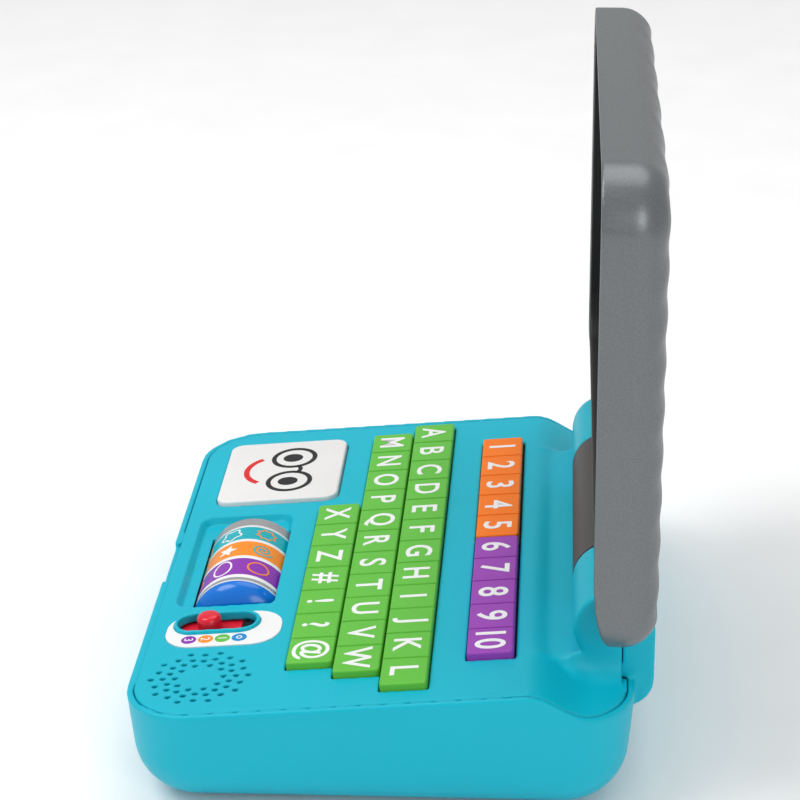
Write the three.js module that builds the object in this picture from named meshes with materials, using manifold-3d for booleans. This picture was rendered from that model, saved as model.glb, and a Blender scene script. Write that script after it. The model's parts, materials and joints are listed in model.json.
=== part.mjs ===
// Toy laptop computer: a rounded teal base with key strips, a picture button, a spinning
// roller and a mode slider, and a metallic grey lid on a barrel hinge, open at 90 degrees.
// Millimetres, +X to the user's right, +Y to the hinge, +Z up.
import * as THREE from "three";
import { mergeVertices } from "three/addons/utils/BufferGeometryUtils.js";
import Module from "manifold-3d";

const wasm = await Module();
wasm.setup();

// ---- driving dimensions -------------------------------------------------------------
const GAP = 0.3; // running gap between neighbouring pieces
const WALL = 2.6; // moulded wall of the tub and the lid shell
const SKIN = 2.4; // moulded wall of the deck cover and the bezel

const BASE_WIDTH = 267; // over the tub's rim
const BASE_DEPTH = 198.7; // front face to rear face of the tub
const TUB_CORNER = 28; // plan radius of the tub's corners
const TUB_DRAFT = 4; // how far the side walls lean in from rim to floor
const TUB_FILLET = 21; // rounding between the walls and the floor
const TUB_LOFT_TOP = 100; // blanks are lofted to this height, then trimmed
const FOOT_HEIGHT = 1.2;

const DECK_FRONT_Z = 44.1; // deck plane's height at the front face
const DECK_TILT = THREE.MathUtils.degToRad(4.8); // the deck rises to the rear by this
const DECK_REAR_Y = 157; // where the deck breaks down to the hinge platform
const PLATFORM_Y = 161.5;
const PLATFORM_Z = 55.4;
const SADDLE_Z = 47.1; // lowest rim height, beside the hinge
const SADDLE_Y = 184;
const SKIRT = 7; // depth of the deck cover's skirt inside the rim

const AXIS_Y = 190.3; // lid hinge axis
const AXIS_Z = 68.2;
const KNUCKLE_R = 16;
const KNUCKLE_IN = 54; // the two knuckles stand between these distances from the middle
const KNUCKLE_OUT = 98;
const PARTING_Y = 193.9; // deck cover and lower housing meet here on the knuckles
const BULGE_REAR = 16.1; // rear face of the hinge housing behind the axis
const BULGE_BOTTOM = 34;
const TROUGH_TOP = 58;
const COVER_REAR_Z = 52.6;
const PIN_R = 2.5;

const LID_WIDTH = 260.2;
const LID_BOTTOM = 69;
const LID_TOP = 262;
const LID_CORNER = 23;
const LID_FRONT = -9; // front rim, in front of the axis
const LID_BACK = 15.7; // back face, behind the axis
const LID_FILLET = 13; // rounding of the back edges
const LID_NOSE_RISE = 40; // height of the curved nose at the lid's lower front edge
const LID_NOSE_BACK = 10.4;
const ARCH_CLEAR = 0.9; // lid's running clearance over the knuckles
const TRAY_DEPTH = 11.5; // bezel recess that takes the keys and roller when shut
const TRAY_BOTTOM = 105.3;

const KEY_PITCH = 20.44;
const ROW_PITCH = 19.23;
const KEY_TOP = 2.8; // above the deck
const KEY_FOOT = 3.2; // below the deck
const KEY_GAP = 0.5;
const TOP_ROW_V = 100.3; // front edge of the first letter row, measured up the deck
const NUMBER_ROW_V = 133.2;

const DRUM_R = 20;
const DRUM_DEPTH = 13.8; // roller axis below the deck
const DRUM_V = 33.9;
const DRUM_X = [-25.5, 42.4];
const SLEEVE_END = 33.4;
const RECESS_X = [-42, 43.3]; // shallow finger recess round the roller
const RECESS_V = [9, 50.8];
const RECESS_DROP = 3.4;
const RECESS_SLOPE = 2.2; // how far its walls lean out
const AXLE_R = 2.4;

const SLIDER_X = 59.4;
const SLIDER_V = 26.4;
const SLOT_V = [13.2, 45.8];
const SLOT_R = 6.9;
const LABEL_V = [9.2, 56.6];
const LABEL_X = [50.4, 78.2];

const FACE_X = [-115.7, -52.6];
const FACE_V = [13.5, 68.8];
const FACE_R = 6;

const SPEAKER = [102.3, 28.1];
const SPEAKER_RINGS = [[9.7, 18], [12.9, 0], [14.6, 18], [17.8, 0], [19.4, 18]]; // radius, first angle
const SPEAKER_ARMS = 10;
const SPEAKER_HOLE_R = 1;

const BATTERY = { r: 7.1, length: 50, count: 3, pitch: 15.2, y: 118 };
const POST_XY = [[-102, 80], [102, 60], [-100, 146], [100, 146]];

const DOOR_TAB_Y = 31; // battery door's screw, behind the middle of the battery bay
const NOTCH_HALF = 18; // half width of the finger notch in the front rim
const SCREEN_X = [-88, 88];
const SCREEN_Z = [128, 238];

const BASE_Z = FOOT_HEIGHT;
const HALF = BASE_WIDTH / 2;

// ---- materials ----------------------------------------------------------------------
const finish = (color, roughness, metalness = 0) =>
  new THREE.MeshStandardMaterial({ color, roughness, metalness });
const TEAL = finish("#00a9c4", 0.35);
const GREEN = finish("#62bf48", 0.35);
const ORANGE = finish("#ff8300", 0.35);
const PURPLE = finish("#9a45b4", 0.35);
const RED = finish("#e0233c", 0.25);
const WHITE = finish("#ecebe8", 0.3);
const BLUE = finish("#0c78cf", 0.25);
const LID_GREY = finish("#767c80", 0.4, 0.6);
const DARK = finish("#2e2d2e", 0.45);
const BARREL_GREY = finish("#4b4646", 0.5);
const STEEL = finish("#b9bcc0", 0.3, 1);
const RUBBER = finish("#3a3a3c", 0.9);
const BOARD = finish("#1f6b3a", 0.5);
const SCREEN = finish("#cfe9f5", 0.4);
const LENS = finish("#e8f2f6", 0.08);

// ---- geometry helpers ---------------------------------------------------------------
const AXES_YZX = new THREE.Matrix4().makeBasis(
  new THREE.Vector3(0, 1, 0),
  new THREE.Vector3(0, 0, 1),
  new THREE.Vector3(1, 0, 0),
);
const AXES_XZY = new THREE.Matrix4().makeBasis(
  new THREE.Vector3(1, 0, 0),
  new THREE.Vector3(0, 0, 1),
  new THREE.Vector3(0, -1, 0),
);
const deckMatrix = new THREE.Matrix4()
  .makeRotationX(DECK_TILT)
  .setPosition(0, 0, DECK_FRONT_Z);

// A closed three.js geometry as a manifold solid.
function solid(geometry) {
  const bare = geometry.index ? geometry.toNonIndexed() : geometry.clone();
  bare.deleteAttribute("normal");
  bare.deleteAttribute("uv");
  const merged = mergeVertices(bare, 1e-4);
  return new wasm.Manifold(
    new wasm.Mesh({
      numProp: 3,
      vertProperties: merged.attributes.position.array,
      triVerts: new Uint32Array(merged.index.array),
    }),
  );
}

const unite = (...solids) => solids.reduce((a, b) => a.add(b));
const cut = (body, ...tools) => tools.reduce((a, b) => a.subtract(b), body);

function shapeOf(points) {
  return new THREE.Shape(points.map(([a, b]) => new THREE.Vector2(a, b)));
}

function extrude(shape, length) {
  return new THREE.ExtrudeGeometry(shape, { depth: length, bevelEnabled: false, curveSegments: 6 });
}

// Prisms of an outline: given in (x, y) along Z, in (y, z) along X and in (x, z) along Y.
const prismZ = (points, z0, z1) => solid(extrude(shapeOf(points), z1 - z0).translate(0, 0, z0));
const prismX = (points, x0, x1) =>
  solid(extrude(shapeOf(points), x1 - x0).applyMatrix4(AXES_YZX).translate(x0, 0, 0));
const prismY = (points, y0, y1) =>
  solid(extrude(shapeOf(points), y1 - y0).applyMatrix4(AXES_XZY).translate(0, y1, 0));

function box(x0, x1, y0, y1, z0, z1) {
  const block = new THREE.BoxGeometry(x1 - x0, y1 - y0, z1 - z0);
  return solid(block.translate((x0 + x1) / 2, (y0 + y1) / 2, (z0 + z1) / 2));
}

// A cylinder along X through (y, z), and one along Z through (x, y).
function rodX(radius, x0, x1, y, z, sides = 28) {
  const rod = new THREE.CylinderGeometry(radius, radius, x1 - x0, sides);
  return solid(rod.rotateZ(Math.PI / 2).translate((x0 + x1) / 2, y, z));
}
function rodZ(radius, z0, z1, x, y, sides = 16) {
  const rod = new THREE.CylinderGeometry(radius, radius, z1 - z0, sides);
  return solid(rod.rotateX(Math.PI / 2).translate(x, y, (z0 + z1) / 2));
}

// Outline of a rounded rectangle, anticlockwise, with the same count of points for any size.
function roundRect(a0, a1, b0, b1, radius, steps = 4) {
  const centres = [
    [a1 - radius, b0 + radius, -90],
    [a1 - radius, b1 - radius, 0],
    [a0 + radius, b1 - radius, 90],
    [a0 + radius, b0 + radius, 180],
  ];
  const points = [];
  for (const [a, b, start] of centres)
    for (let i = 0; i <= steps; i++) {
      const angle = THREE.MathUtils.degToRad(start + (90 * i) / steps);
      points.push([a + radius * Math.cos(angle), b + radius * Math.sin(angle)]);
    }
  return points;
}
// The rounded rectangle over two ranges, grown by a margin on every side.
const grown = (a, b, by, r) => roundRect(a[0] - by, a[1] + by, b[0] - by, b[1] + by, r);

// A closed solid through convex rings of [x, y, z] points, first ring to last.
function loft(rings) {
  const count = rings[0].length;
  const positions = rings.flat(2);
  const index = [];
  for (let r = 0; r + 1 < rings.length; r++)
    for (let i = 0; i < count; i++) {
      const j = (i + 1) % count;
      const a = r * count;
      const b = a + count;
      index.push(a + i, a + j, b + j, a + i, b + j, b + i);
    }
  const last = (rings.length - 1) * count;
  for (let i = 1; i + 1 < count; i++) {
    index.push(0, i + 1, i);
    index.push(last, last + i, last + i + 1);
  }
  const geometry = new THREE.BufferGeometry();
  geometry.setAttribute("position", new THREE.Float32BufferAttribute(positions, 3));
  geometry.setIndex(index);
  return solid(geometry);
}

const deckZ = (y) => DECK_FRONT_Z + y * Math.tan(DECK_TILT);
const ramp = (t) => (1 - Math.cos(Math.PI * t)) / 2; // smooth step from 0 to 1

const part = new THREE.Group();
const frame = new THREE.Group(); // everything, from the tub's front face
const deck = new THREE.Group(); // pieces that lie in the sloping deck
deck.applyMatrix4(deckMatrix);
part.add(frame);
frame.add(deck);

function place(parent, name, body, material) {
  const { vertProperties, triVerts, numProp } = body.getMesh();
  const geometry = new THREE.BufferGeometry();
  const positions = new Float32Array((vertProperties.length / numProp) * 3);
  for (let i = 0; i < positions.length / 3; i++)
    positions.set(vertProperties.subarray(i * numProp, i * numProp + 3), i * 3);
  geometry.setAttribute("position", new THREE.BufferAttribute(positions, 3));
  geometry.setIndex([...triVerts]);
  geometry.computeVertexNormals();
  const mesh = new THREE.Mesh(geometry, material);
  mesh.name = name;
  parent.add(mesh);
}

// A deck-frame tool moved to the base frame, for cutting the deck cover.
const tilted = (body) => body.transform(deckMatrix.elements);

// ---- base blanks --------------------------------------------------------------------
// The tub's outer form, or the same form taken in by an inset, trimmed to no height yet.
function tub(inset) {
  const steps = 5;
  const floor = BASE_Z + inset;
  const rings = [];
  const ringAt = (z, back) => {
    const d = inset + back + TUB_DRAFT * Math.max(0, 1 - z / DECK_FRONT_Z);
    const outline = roundRect(-HALF + d, HALF - d, d, BASE_DEPTH - d, Math.max(TUB_CORNER - d, 3));
    return outline.map(([x, y]) => [x, y, z]);
  };
  for (let i = 0; i <= steps; i++) {
    const angle = (Math.PI / 2) * (i / steps);
    const z = floor + TUB_FILLET * (1 - Math.cos(angle));
    rings.push(ringAt(z, TUB_FILLET * (1 - Math.sin(angle))));
  }
  rings.push(ringAt(DECK_FRONT_Z, 0), ringAt(TUB_LOFT_TOP, 0));
  return loft(rings);
}

// Rim line from front to rear: the deck plane, then a smooth dip beside the hinge.
function rimLine(drop) {
  const points = [[-10, deckZ(-10) - drop], [DECK_REAR_Y, deckZ(DECK_REAR_Y) - drop]];
  const steps = 8;
  for (let i = 1; i <= steps; i++) {
    const y = DECK_REAR_Y + ((SADDLE_Y - DECK_REAR_Y) * i) / steps;
    const z = deckZ(DECK_REAR_Y) + (SADDLE_Z - deckZ(DECK_REAR_Y)) * ramp(i / steps);
    points.push([y, z - drop]);
  }
  points.push([BASE_DEPTH + 20, SADDLE_Z - drop]);
  return points;
}
const belowRim = (drop, x0, x1) =>
  prismX([[-10, -10], [BASE_DEPTH + 20, -10], ...rimLine(drop).reverse()], x0, x1);

// Outline in (y, z) of the deck, its step and the platform, dropped by the skin.
const platformLine = (drop) => [
  [DECK_REAR_Y - 12, deckZ(DECK_REAR_Y - 12) - drop],
  [DECK_REAR_Y, deckZ(DECK_REAR_Y) - drop],
  [PLATFORM_Y, PLATFORM_Z - drop],
];

// Hinge housing behind the tub, rounded below, taken in by an inset.
function bulge(inset, halfWidth) {
  const rear = AXIS_Y + BULGE_REAR - inset;
  const bottom = BULGE_BOTTOM + inset;
  const radius = 12 - inset;
  const points = [[AXIS_Y - 12, bottom]];
  for (let i = 0; i <= 5; i++) {
    const angle = (Math.PI / 2) * (i / 5);
    points.push([
      rear - radius + radius * Math.sin(angle),
      bottom + radius * (1 - Math.cos(angle)),
    ]);
  }
  points.push([rear, AXIS_Z], [AXIS_Y - 12, AXIS_Z]);
  return prismX(points, -halfWidth, halfWidth);
}

const knuckle = (radius, x0, x1) => rodX(radius, x0, x1, AXIS_Y, AXIS_Z);
const bothSides = (make) => unite(make(-1), make(1));
const across = (side, a, b) => (side > 0 ? [a, b] : [-b, -a]);

// ---- lower housing ------------------------------------------------------------------
function batteryBay(inset, z0, z1) {
  const half = (BATTERY.count * BATTERY.pitch) / 2 + 2 - inset;
  return box(-BATTERY.length / 2 - 5 + inset, BATTERY.length / 2 + 5 - inset,
    BATTERY.y - half, BATTERY.y + half, z0, z1);
}
const BAY_TOP = BASE_Z + 22;

function lowerHousing() {
  const housing = unite(
    tub(0).intersect(belowRim(0, -HALF - 5, HALF + 5)),
    bulge(0, KNUCKLE_OUT),
    knuckle(KNUCKLE_R, -KNUCKLE_OUT, KNUCKLE_OUT),
  );
  const keep = unite(
    belowRim(0, -HALF - 5, HALF + 5),
    box(-KNUCKLE_OUT, KNUCKLE_OUT, AXIS_Y - 14, PARTING_Y + 1, 20, COVER_REAR_Z),
    box(-KNUCKLE_OUT, KNUCKLE_OUT, PARTING_Y, AXIS_Y + 20, 20, 100),
  );
  const innerKnuckles = bothSides((side) => {
    const [x0, x1] = across(side, KNUCKLE_IN + SKIN, KNUCKLE_OUT - WALL);
    return knuckle(KNUCKLE_R - WALL, x0, x1);
  });
  const hollow = cut(
    unite(tub(WALL), bulge(WALL, KNUCKLE_OUT - WALL), innerKnuckles),
    knuckle(KNUCKLE_R + 0.6 + WALL, -KNUCKLE_IN - SKIN, KNUCKLE_IN + SKIN)
      .intersect(box(-60, 60, AXIS_Y - 30, AXIS_Y + 30, 20, COVER_REAR_Z + 30)),
  );
  const trough = unite(
    knuckle(KNUCKLE_R + 0.6, -KNUCKLE_IN, KNUCKLE_IN),
    box(-KNUCKLE_IN, KNUCKLE_IN, AXIS_Y - 25, AXIS_Y + 20, TROUGH_TOP, 100),
  );
  const posts = POST_XY.map(([x, y]) => rodZ(4, BASE_Z + 1, deckZ(y) - SKIN - 8, x, y, 12));
  const postHoles = POST_XY.map(([x, y]) => rodZ(1.8, BASE_Z - 1, deckZ(y) - SKIN - 9, x, y, 12));
  const postSinks = POST_XY.map(([x, y]) => rodZ(3.6, BASE_Z - 1, BASE_Z + 3, x, y, 12));
  const bayWalls = cut(batteryBay(0, BASE_Z + 1, BAY_TOP), batteryBay(2, BASE_Z - 1, BAY_TOP - 2));
  const doorHole = batteryBay(2, BASE_Z - 1, BASE_Z + WALL + 1);
  const screwBoss = rodZ(4.5, BASE_Z + 1, BASE_Z + 14, 0, BATTERY.y + DOOR_TAB_Y, 12);
  const screwHole = rodZ(1.8, BASE_Z - 1, BASE_Z + 12, 0, BATTERY.y + DOOR_TAB_Y, 12);
  const tabRecess = box(-8, 8, BATTERY.y + 20, BATTERY.y + DOOR_TAB_Y + 7, BASE_Z - 1, BASE_Z + 2.2);
  const thumbNotch = box(-NOTCH_HALF, NOTCH_HALF, -5, WALL + 0.6, DECK_FRONT_Z - 2.4, DECK_FRONT_Z + 5);
  const feet = footPlaces().map(([x, y]) => rodZ(8.3, BASE_Z - 1, BASE_Z + 0.8, x, y, 20));
  return cut(
    unite(cut(housing.intersect(keep), hollow, trough), ...posts, bayWalls, screwBoss),
    ...postHoles, ...postSinks, doorHole, tabRecess, screwHole, thumbNotch, ...feet,
  );
}
const footPlaces = () => [[-98, 38], [98, 38], [-98, 164], [98, 164]];

place(frame, "lower_housing", lowerHousing(), TEAL);

for (const [i, [x, y]] of footPlaces().entries())
  place(frame, `foot_${i + 1}`, rodZ(8, 0, BASE_Z + 0.5, x, y, 20), RUBBER);

function screw(x, y, z, length, headR = 3.2) {
  return unite(rodZ(1.5, z, z + length, x, y, 10), rodZ(headR, z, z + 1.8, x, y, 12));
}
for (const [i, [x, y]] of POST_XY.entries())
  place(frame, `housing_screw_${i + 1}`, screw(x, y, BASE_Z + 0.9, 14), STEEL);

// ---- battery compartment ------------------------------------------------------------
const door = unite(
  batteryBay(2 + GAP, BASE_Z, BASE_Z + 2),
  box(-7.7, 7.7, BATTERY.y + 20, BATTERY.y + DOOR_TAB_Y + 6.7, BASE_Z, BASE_Z + 1.9),
);
place(frame, "battery_door", cut(door, rodZ(3.5, BASE_Z - 1, BASE_Z + 3, 0, BATTERY.y + DOOR_TAB_Y)), TEAL);
place(frame, "battery_door_screw", screw(0, BATTERY.y + DOOR_TAB_Y, BASE_Z + 0.4, 9, 3.1), STEEL);
for (let i = 0; i < BATTERY.count; i++) {
  const y = BATTERY.y + (i - (BATTERY.count - 1) / 2) * BATTERY.pitch;
  const z = BASE_Z + 3 + BATTERY.r;
  const cell = unite(
    rodX(BATTERY.r, -BATTERY.length / 2 + 1.4, BATTERY.length / 2 - 0.6, y, z, 20),
    rodX(2.7, -BATTERY.length / 2, -BATTERY.length / 2 + 2, y, z, 12),
  );
  place(frame, `battery_${i + 1}`, cell, ORANGE);
}
for (const side of [-1, 1]) {
  const [x0, x1] = across(side, BATTERY.length / 2 + GAP, BATTERY.length / 2 + 1.1);
  const strip = box(x0, x1, BATTERY.y - 22, BATTERY.y + 22, BASE_Z + 4, BASE_Z + 16);
  place(frame, side < 0 ? "battery_contact_left" : "battery_contact_right", strip, STEEL);
}

// ---- deck cover ---------------------------------------------------------------------
const KEY_ROWS = [
  { name: "number_keys_low", from: -103.2, keys: 5, v: NUMBER_ROW_V, color: ORANGE },
  { name: "number_keys_high", from: -103.2 + 5 * KEY_PITCH, keys: 5, v: NUMBER_ROW_V, color: PURPLE },
  { name: "letter_keys_top", from: -123.8, keys: 12, v: TOP_ROW_V, color: GREEN },
  { name: "letter_keys_middle", from: -115.4, keys: 11, v: TOP_ROW_V - ROW_PITCH, color: GREEN },
  { name: "letter_keys_bottom", from: -42.2, keys: 7, v: TOP_ROW_V - 2 * ROW_PITCH, color: GREEN },
];

function rowOpening({ from, keys, v }) {
  return box(from - 0.1, from + keys * KEY_PITCH + 0.1, v - 0.2, v + ROW_PITCH + 0.2, -20, 10);
}

const stadium = (radius, v0, v1) =>
  roundRect(SLIDER_X - radius, SLIDER_X + radius, v0, v1, radius - 0.01, 5);

function speakerHoles() {
  const holes = [];
  for (const [radius, first] of SPEAKER_RINGS)
    for (let i = 0; i < SPEAKER_ARMS; i++) {
      const angle = THREE.MathUtils.degToRad(first + (360 / SPEAKER_ARMS) * i);
      const x = SPEAKER[0] + radius * Math.cos(angle);
      holes.push(rodZ(SPEAKER_HOLE_R, -6, 4, x, SPEAKER[1] + radius * Math.sin(angle), 6));
    }
  return unite(...holes);
}

function deckCover() {
  const edge = WALL + GAP;
  const rearLine = PARTING_Y - GAP;
  const sideRoom = unite(
    box(-HALF, HALF, -5, rearLine, 0, 100),
    bothSides((side) => {
      const [x0, x1] = across(side, KNUCKLE_OUT + GAP, HALF);
      return box(x0, x1, 150, BASE_DEPTH, 0, 100);
    }),
  );
  const skirtPart = cut(tub(edge).intersect(belowRim(0, -HALF, HALF)), belowRim(SKIRT, -HALF, HALF))
    .intersect(sideRoom);
  const centre = prismX(
    [[DECK_REAR_Y - 12, COVER_REAR_Z - 6], ...platformLine(0).slice(0, 3), [AXIS_Y - 8, PLATFORM_Z],
      [rearLine, PLATFORM_Z], [rearLine, COVER_REAR_Z + GAP], [DECK_REAR_Y + 8, COVER_REAR_Z - 6]].reverse(),
    -KNUCKLE_OUT, KNUCKLE_OUT,
  );
  const knuckles = bothSides((side) => {
    const [x0, x1] = across(side, KNUCKLE_IN, KNUCKLE_OUT);
    return knuckle(KNUCKLE_R, x0, x1).intersect(
      box(x0, x1, AXIS_Y - 20, rearLine, COVER_REAR_Z + GAP, 100));
  });
  const inner = unite(
    tub(edge + SKIN).intersect(belowRim(SKIN, -HALF, HALF)).intersect(box(-HALF, HALF, 0, 170, 0, 100)),
    prismX(
      [[DECK_REAR_Y - 14, 10], ...platformLine(SKIN), [rearLine + 1, PLATFORM_Z - SKIN],
        [rearLine + 1, 10]].reverse(),
      -KNUCKLE_OUT + SKIN, KNUCKLE_OUT - SKIN,
    ),
    bothSides((side) => {
      const [x0, x1] = across(side, KNUCKLE_IN + SKIN, KNUCKLE_OUT - SKIN);
      return knuckle(KNUCKLE_R - SKIN, x0, x1);
    }),
    bothSides((side) => {
      const [x0, x1] = across(side, KNUCKLE_OUT, HALF);
      return tub(edge + SKIN).intersect(belowRim(SKIN, x0, x1));
    }),
  );
  const recessPad = tilted(box(RECESS_X[0] - 2.4, RECESS_X[1] + 2.4, RECESS_V[0] - 2.4, RECESS_V[1] + 2.4,
    -RECESS_DROP - SKIN, -1));
  const lip = tilted(cut(prismZ(stadium(SLOT_R + 1.6, SLOT_V[0] - 1.6, SLOT_V[1] + 1.6), -1, 1.4),
    prismZ(stadium(SLOT_R, ...SLOT_V), -2, 3)));
  const shell = unite(cut(unite(skirtPart, centre, knuckles), inner), recessPad, lip);

  const recess = loft([[RECESS_SLOPE, -RECESS_DROP], [0, 0], [0, 5]].map(([d, w]) =>
    grown(RECESS_X, RECESS_V, -d, 7 - d).map(([x, v]) => [x, v, w])));
  const openings = [
    ...KEY_ROWS.map(rowOpening),
    prismZ(grown(FACE_X, FACE_V, 0.4, FACE_R + 0.4), -10, 5),
    prismZ(roundRect(DRUM_X[0] - 0.9, DRUM_X[1] + 0.9, DRUM_V - 16.9, DRUM_V + 16.9, 3, 3), -10, 5),
    rodX(DRUM_R + 0.8, DRUM_X[0] - 0.9, DRUM_X[1] + 0.9, DRUM_V, -DRUM_DEPTH),
    recess,
    prismZ(stadium(SLOT_R, ...SLOT_V), -10, 5),
    cut(prismZ(grown(LABEL_X, LABEL_V, GAP, 8), -0.6, 0.7),
      prismZ(stadium(SLOT_R + 1.6, SLOT_V[0] - 1.6, SLOT_V[1] + 1.6), -2, 3)),
    speakerHoles(),
  ].map(tilted);
  const barrelRoom = knuckle(KNUCKLE_R + 0.6, -KNUCKLE_IN, KNUCKLE_IN);
  const pinBores = knuckleBores(GAP + 0.1);
  return cut(shell, ...openings, barrelRoom, pinBores);
}
const knuckleBores = (gap) => bothSides((side) => {
  const [x0, x1] = across(side, KNUCKLE_IN - 1, KNUCKLE_IN + SKIN + 1);
  return rodX(PIN_R + gap, x0, x1, AXIS_Y, AXIS_Z, 16);
});
place(frame, "deck_cover", deckCover(), TEAL);

for (const side of [-1, 1]) {
  const [x0, x1] = across(side, KNUCKLE_IN - 10, KNUCKLE_IN + 14);
  const name = side < 0 ? "hinge_pin_left" : "hinge_pin_right";
  place(frame, name, rodX(PIN_R, x0, x1, AXIS_Y, AXIS_Z, 16), STEEL);
}

// ---- keys and picture button, on the deck -------------------------------------------
// A block on the deck with drafted, softened edges: its top is smaller than its foot.
function cap(outline, foot, top) {
  const soft = 0.8;
  return loft([
    outline(0.0).map(([x, y]) => [x, y, foot]),
    outline(0.15).map(([x, y]) => [x, y, top - soft]),
    outline(0.15 + soft).map(([x, y]) => [x, y, top]),
  ]);
}
for (const { name, from, keys, v, color } of KEY_ROWS) {
  const width = keys * KEY_PITCH;
  const outline = (d) => roundRect(
    from + KEY_GAP / 2 + d, from + width - KEY_GAP / 2 - d,
    v + KEY_GAP / 2 + d, v + ROW_PITCH - KEY_GAP / 2 - d, 1.6, 2);
  const grooves = [];
  for (let i = 1; i < keys; i++) {
    const x = from + i * KEY_PITCH;
    grooves.push(box(x - 0.3, x + 0.3, v - 1, v + ROW_PITCH + 1, KEY_TOP - 1, KEY_TOP + 1));
  }
  place(deck, name, cut(cap(outline, -KEY_FOOT, KEY_TOP), ...grooves), color);
}

const faceOutline = (d) => roundRect(FACE_X[0] + d, FACE_X[1] - d, FACE_V[0] + d, FACE_V[1] - d, FACE_R - d);
place(deck, "face_button", cap(faceOutline, -KEY_FOOT, 1.8), WHITE);

place(deck, "key_membrane", box(-122, 122, 60, 152.6, -7, -5.8), RUBBER);
place(deck, "circuit_board", box(-96, 118, 62, 150, -9.4, -7.8), BOARD);
place(deck, "face_button_pad", box(-112, -56, 17, 57, -7, -5.8), RUBBER);
place(deck, "speaker_driver", unite(
  rodZ(22, -7, -3.4, SPEAKER[0], SPEAKER[1], 20),
  rodZ(12, -16, -6, SPEAKER[0], SPEAKER[1], 16),
), DARK);

// ---- roller -------------------------------------------------------------------------
// Turned about X: the profile is drawn as (radius, x).
function turnedX(profile, sides = 24) {
  const lathe = new THREE.LatheGeometry(profile.map(([r, x]) => new THREE.Vector2(r, x)), sides);
  return solid(lathe.rotateZ(-Math.PI / 2).translate(0, DRUM_V, -DRUM_DEPTH));
}
const domeStart = SLEEVE_END + GAP;
const dome = [];
for (let i = 0; i <= 5; i++) {
  const angle = (Math.PI / 2) * (i / 5);
  dome.push([
    AXLE_R + (DRUM_R - AXLE_R) * Math.cos(angle),
    domeStart + (DRUM_X[1] - domeStart) * Math.sin(angle),
  ]);
}
const CORE_R = DRUM_R - 1.2;
place(deck, "roller_core", turnedX([
  [0, DRUM_X[0] - 4], [AXLE_R, DRUM_X[0] - 4], [AXLE_R, DRUM_X[0]], [CORE_R, DRUM_X[0]],
  [CORE_R, domeStart], ...dome, [AXLE_R, DRUM_X[1] + 4], [0, DRUM_X[1] + 4],
]), BLUE);
place(deck, "roller_sleeve", turnedX([
  [CORE_R + GAP, DRUM_X[0]], [DRUM_R - 0.6, DRUM_X[0]], [DRUM_R, DRUM_X[0] + 0.8], [DRUM_R, SLEEVE_END],
  [CORE_R + GAP, SLEEVE_END], [CORE_R + GAP, DRUM_X[0]],
]), WHITE);
for (const [name, x0, x1] of [
  ["roller_cradle_left", DRUM_X[0] - 5, DRUM_X[0] - 1.2],
  ["roller_cradle_right", DRUM_X[1] + 1.2, DRUM_X[1] + 5],
]) {
  const bracket = box(x0, x1, DRUM_V - 7, DRUM_V + 7, -DRUM_DEPTH - 7, -RECESS_DROP - SKIN - GAP - 0.3);
  place(deck, name, cut(bracket, rodX(AXLE_R + GAP, x0 - 1, x1 + 1, DRUM_V, -DRUM_DEPTH, 16)), WHITE);
}

// ---- mode slider --------------------------------------------------------------------
const labelPlate = prismZ(roundRect(...LABEL_X, ...LABEL_V, 8 - GAP), -0.3, 0.25);
place(deck, "slider_label",
  cut(labelPlate,
    prismZ(stadium(SLOT_R + 1.6 + GAP, SLOT_V[0] - 1.6 - GAP, SLOT_V[1] + 1.6 + GAP), -1, 1)), WHITE);
const knobRings = [[5, -4], [5, 2.4], [4.6, 3.8], [3.4, 5], [1.6, 5.6]];
const knob = loft(knobRings.map(([r, z]) =>
  roundRect(SLIDER_X - r, SLIDER_X + r, SLIDER_V - r, SLIDER_V + r, r - 0.01, 5).map(([x, y]) => [x, y, z])));
place(deck, "mode_slider", unite(
  knob, box(SLIDER_X - 8.5, SLIDER_X + 8.5, SLIDER_V - 12.6, SLIDER_V + 12.6, -4.6, -3)), RED);

// ---- lid ----------------------------------------------------------------------------
// The lid's outer form between a front face and the back, taken in by an inset.
function lidForm(inset, front) {
  const steps = 5;
  const radius = LID_FILLET - inset;
  const back = AXIS_Y + LID_BACK - inset;
  const ringAt = (y, d) => roundRect(
    -LID_WIDTH / 2 + inset + d, LID_WIDTH / 2 - inset - d,
    LID_BOTTOM + inset + d, LID_TOP - inset - d, LID_CORNER - Math.min(inset + d, LID_CORNER - 4),
  ).map(([x, z]) => [x, y, z]);
  const rings = [ringAt(AXIS_Y + front, 0)];
  for (let i = 0; i <= steps; i++) {
    const angle = (Math.PI / 2) * (i / steps);
    rings.push(ringAt(back - radius * (1 - Math.sin(angle)), radius * (1 - Math.cos(angle))));
  }
  return loft(rings.reverse());
}

// The space in front of the lid's curved lower nose, in (y, z), moved by an offset.
function noseRoom(offset) {
  const points = [];
  const steps = 6;
  for (let i = 0; i <= steps; i++) {
    const angle = (Math.PI / 2) * (i / steps);
    points.push([
      AXIS_Y + LID_FRONT + offset + LID_NOSE_BACK * (1 - Math.cos(angle)),
      LID_BOTTOM + LID_NOSE_RISE + offset - LID_NOSE_RISE * Math.sin(angle),
    ]);
  }
  points.push([AXIS_Y + LID_FRONT - 10, LID_BOTTOM - 10 + offset]);
  points.push([AXIS_Y + LID_FRONT - 10, LID_BOTTOM + LID_NOSE_RISE + offset]);
  return prismX(points.reverse(), -HALF, HALF);
}

const archR = KNUCKLE_R + ARCH_CLEAR;
const BEZEL_FRONT = LID_FRONT + 0.5;
const BEZEL_BACK = LID_FRONT + TRAY_DEPTH + SKIN;
const NECK = { half: 50, y0: -3, y1: 9, top: 30 };

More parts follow.
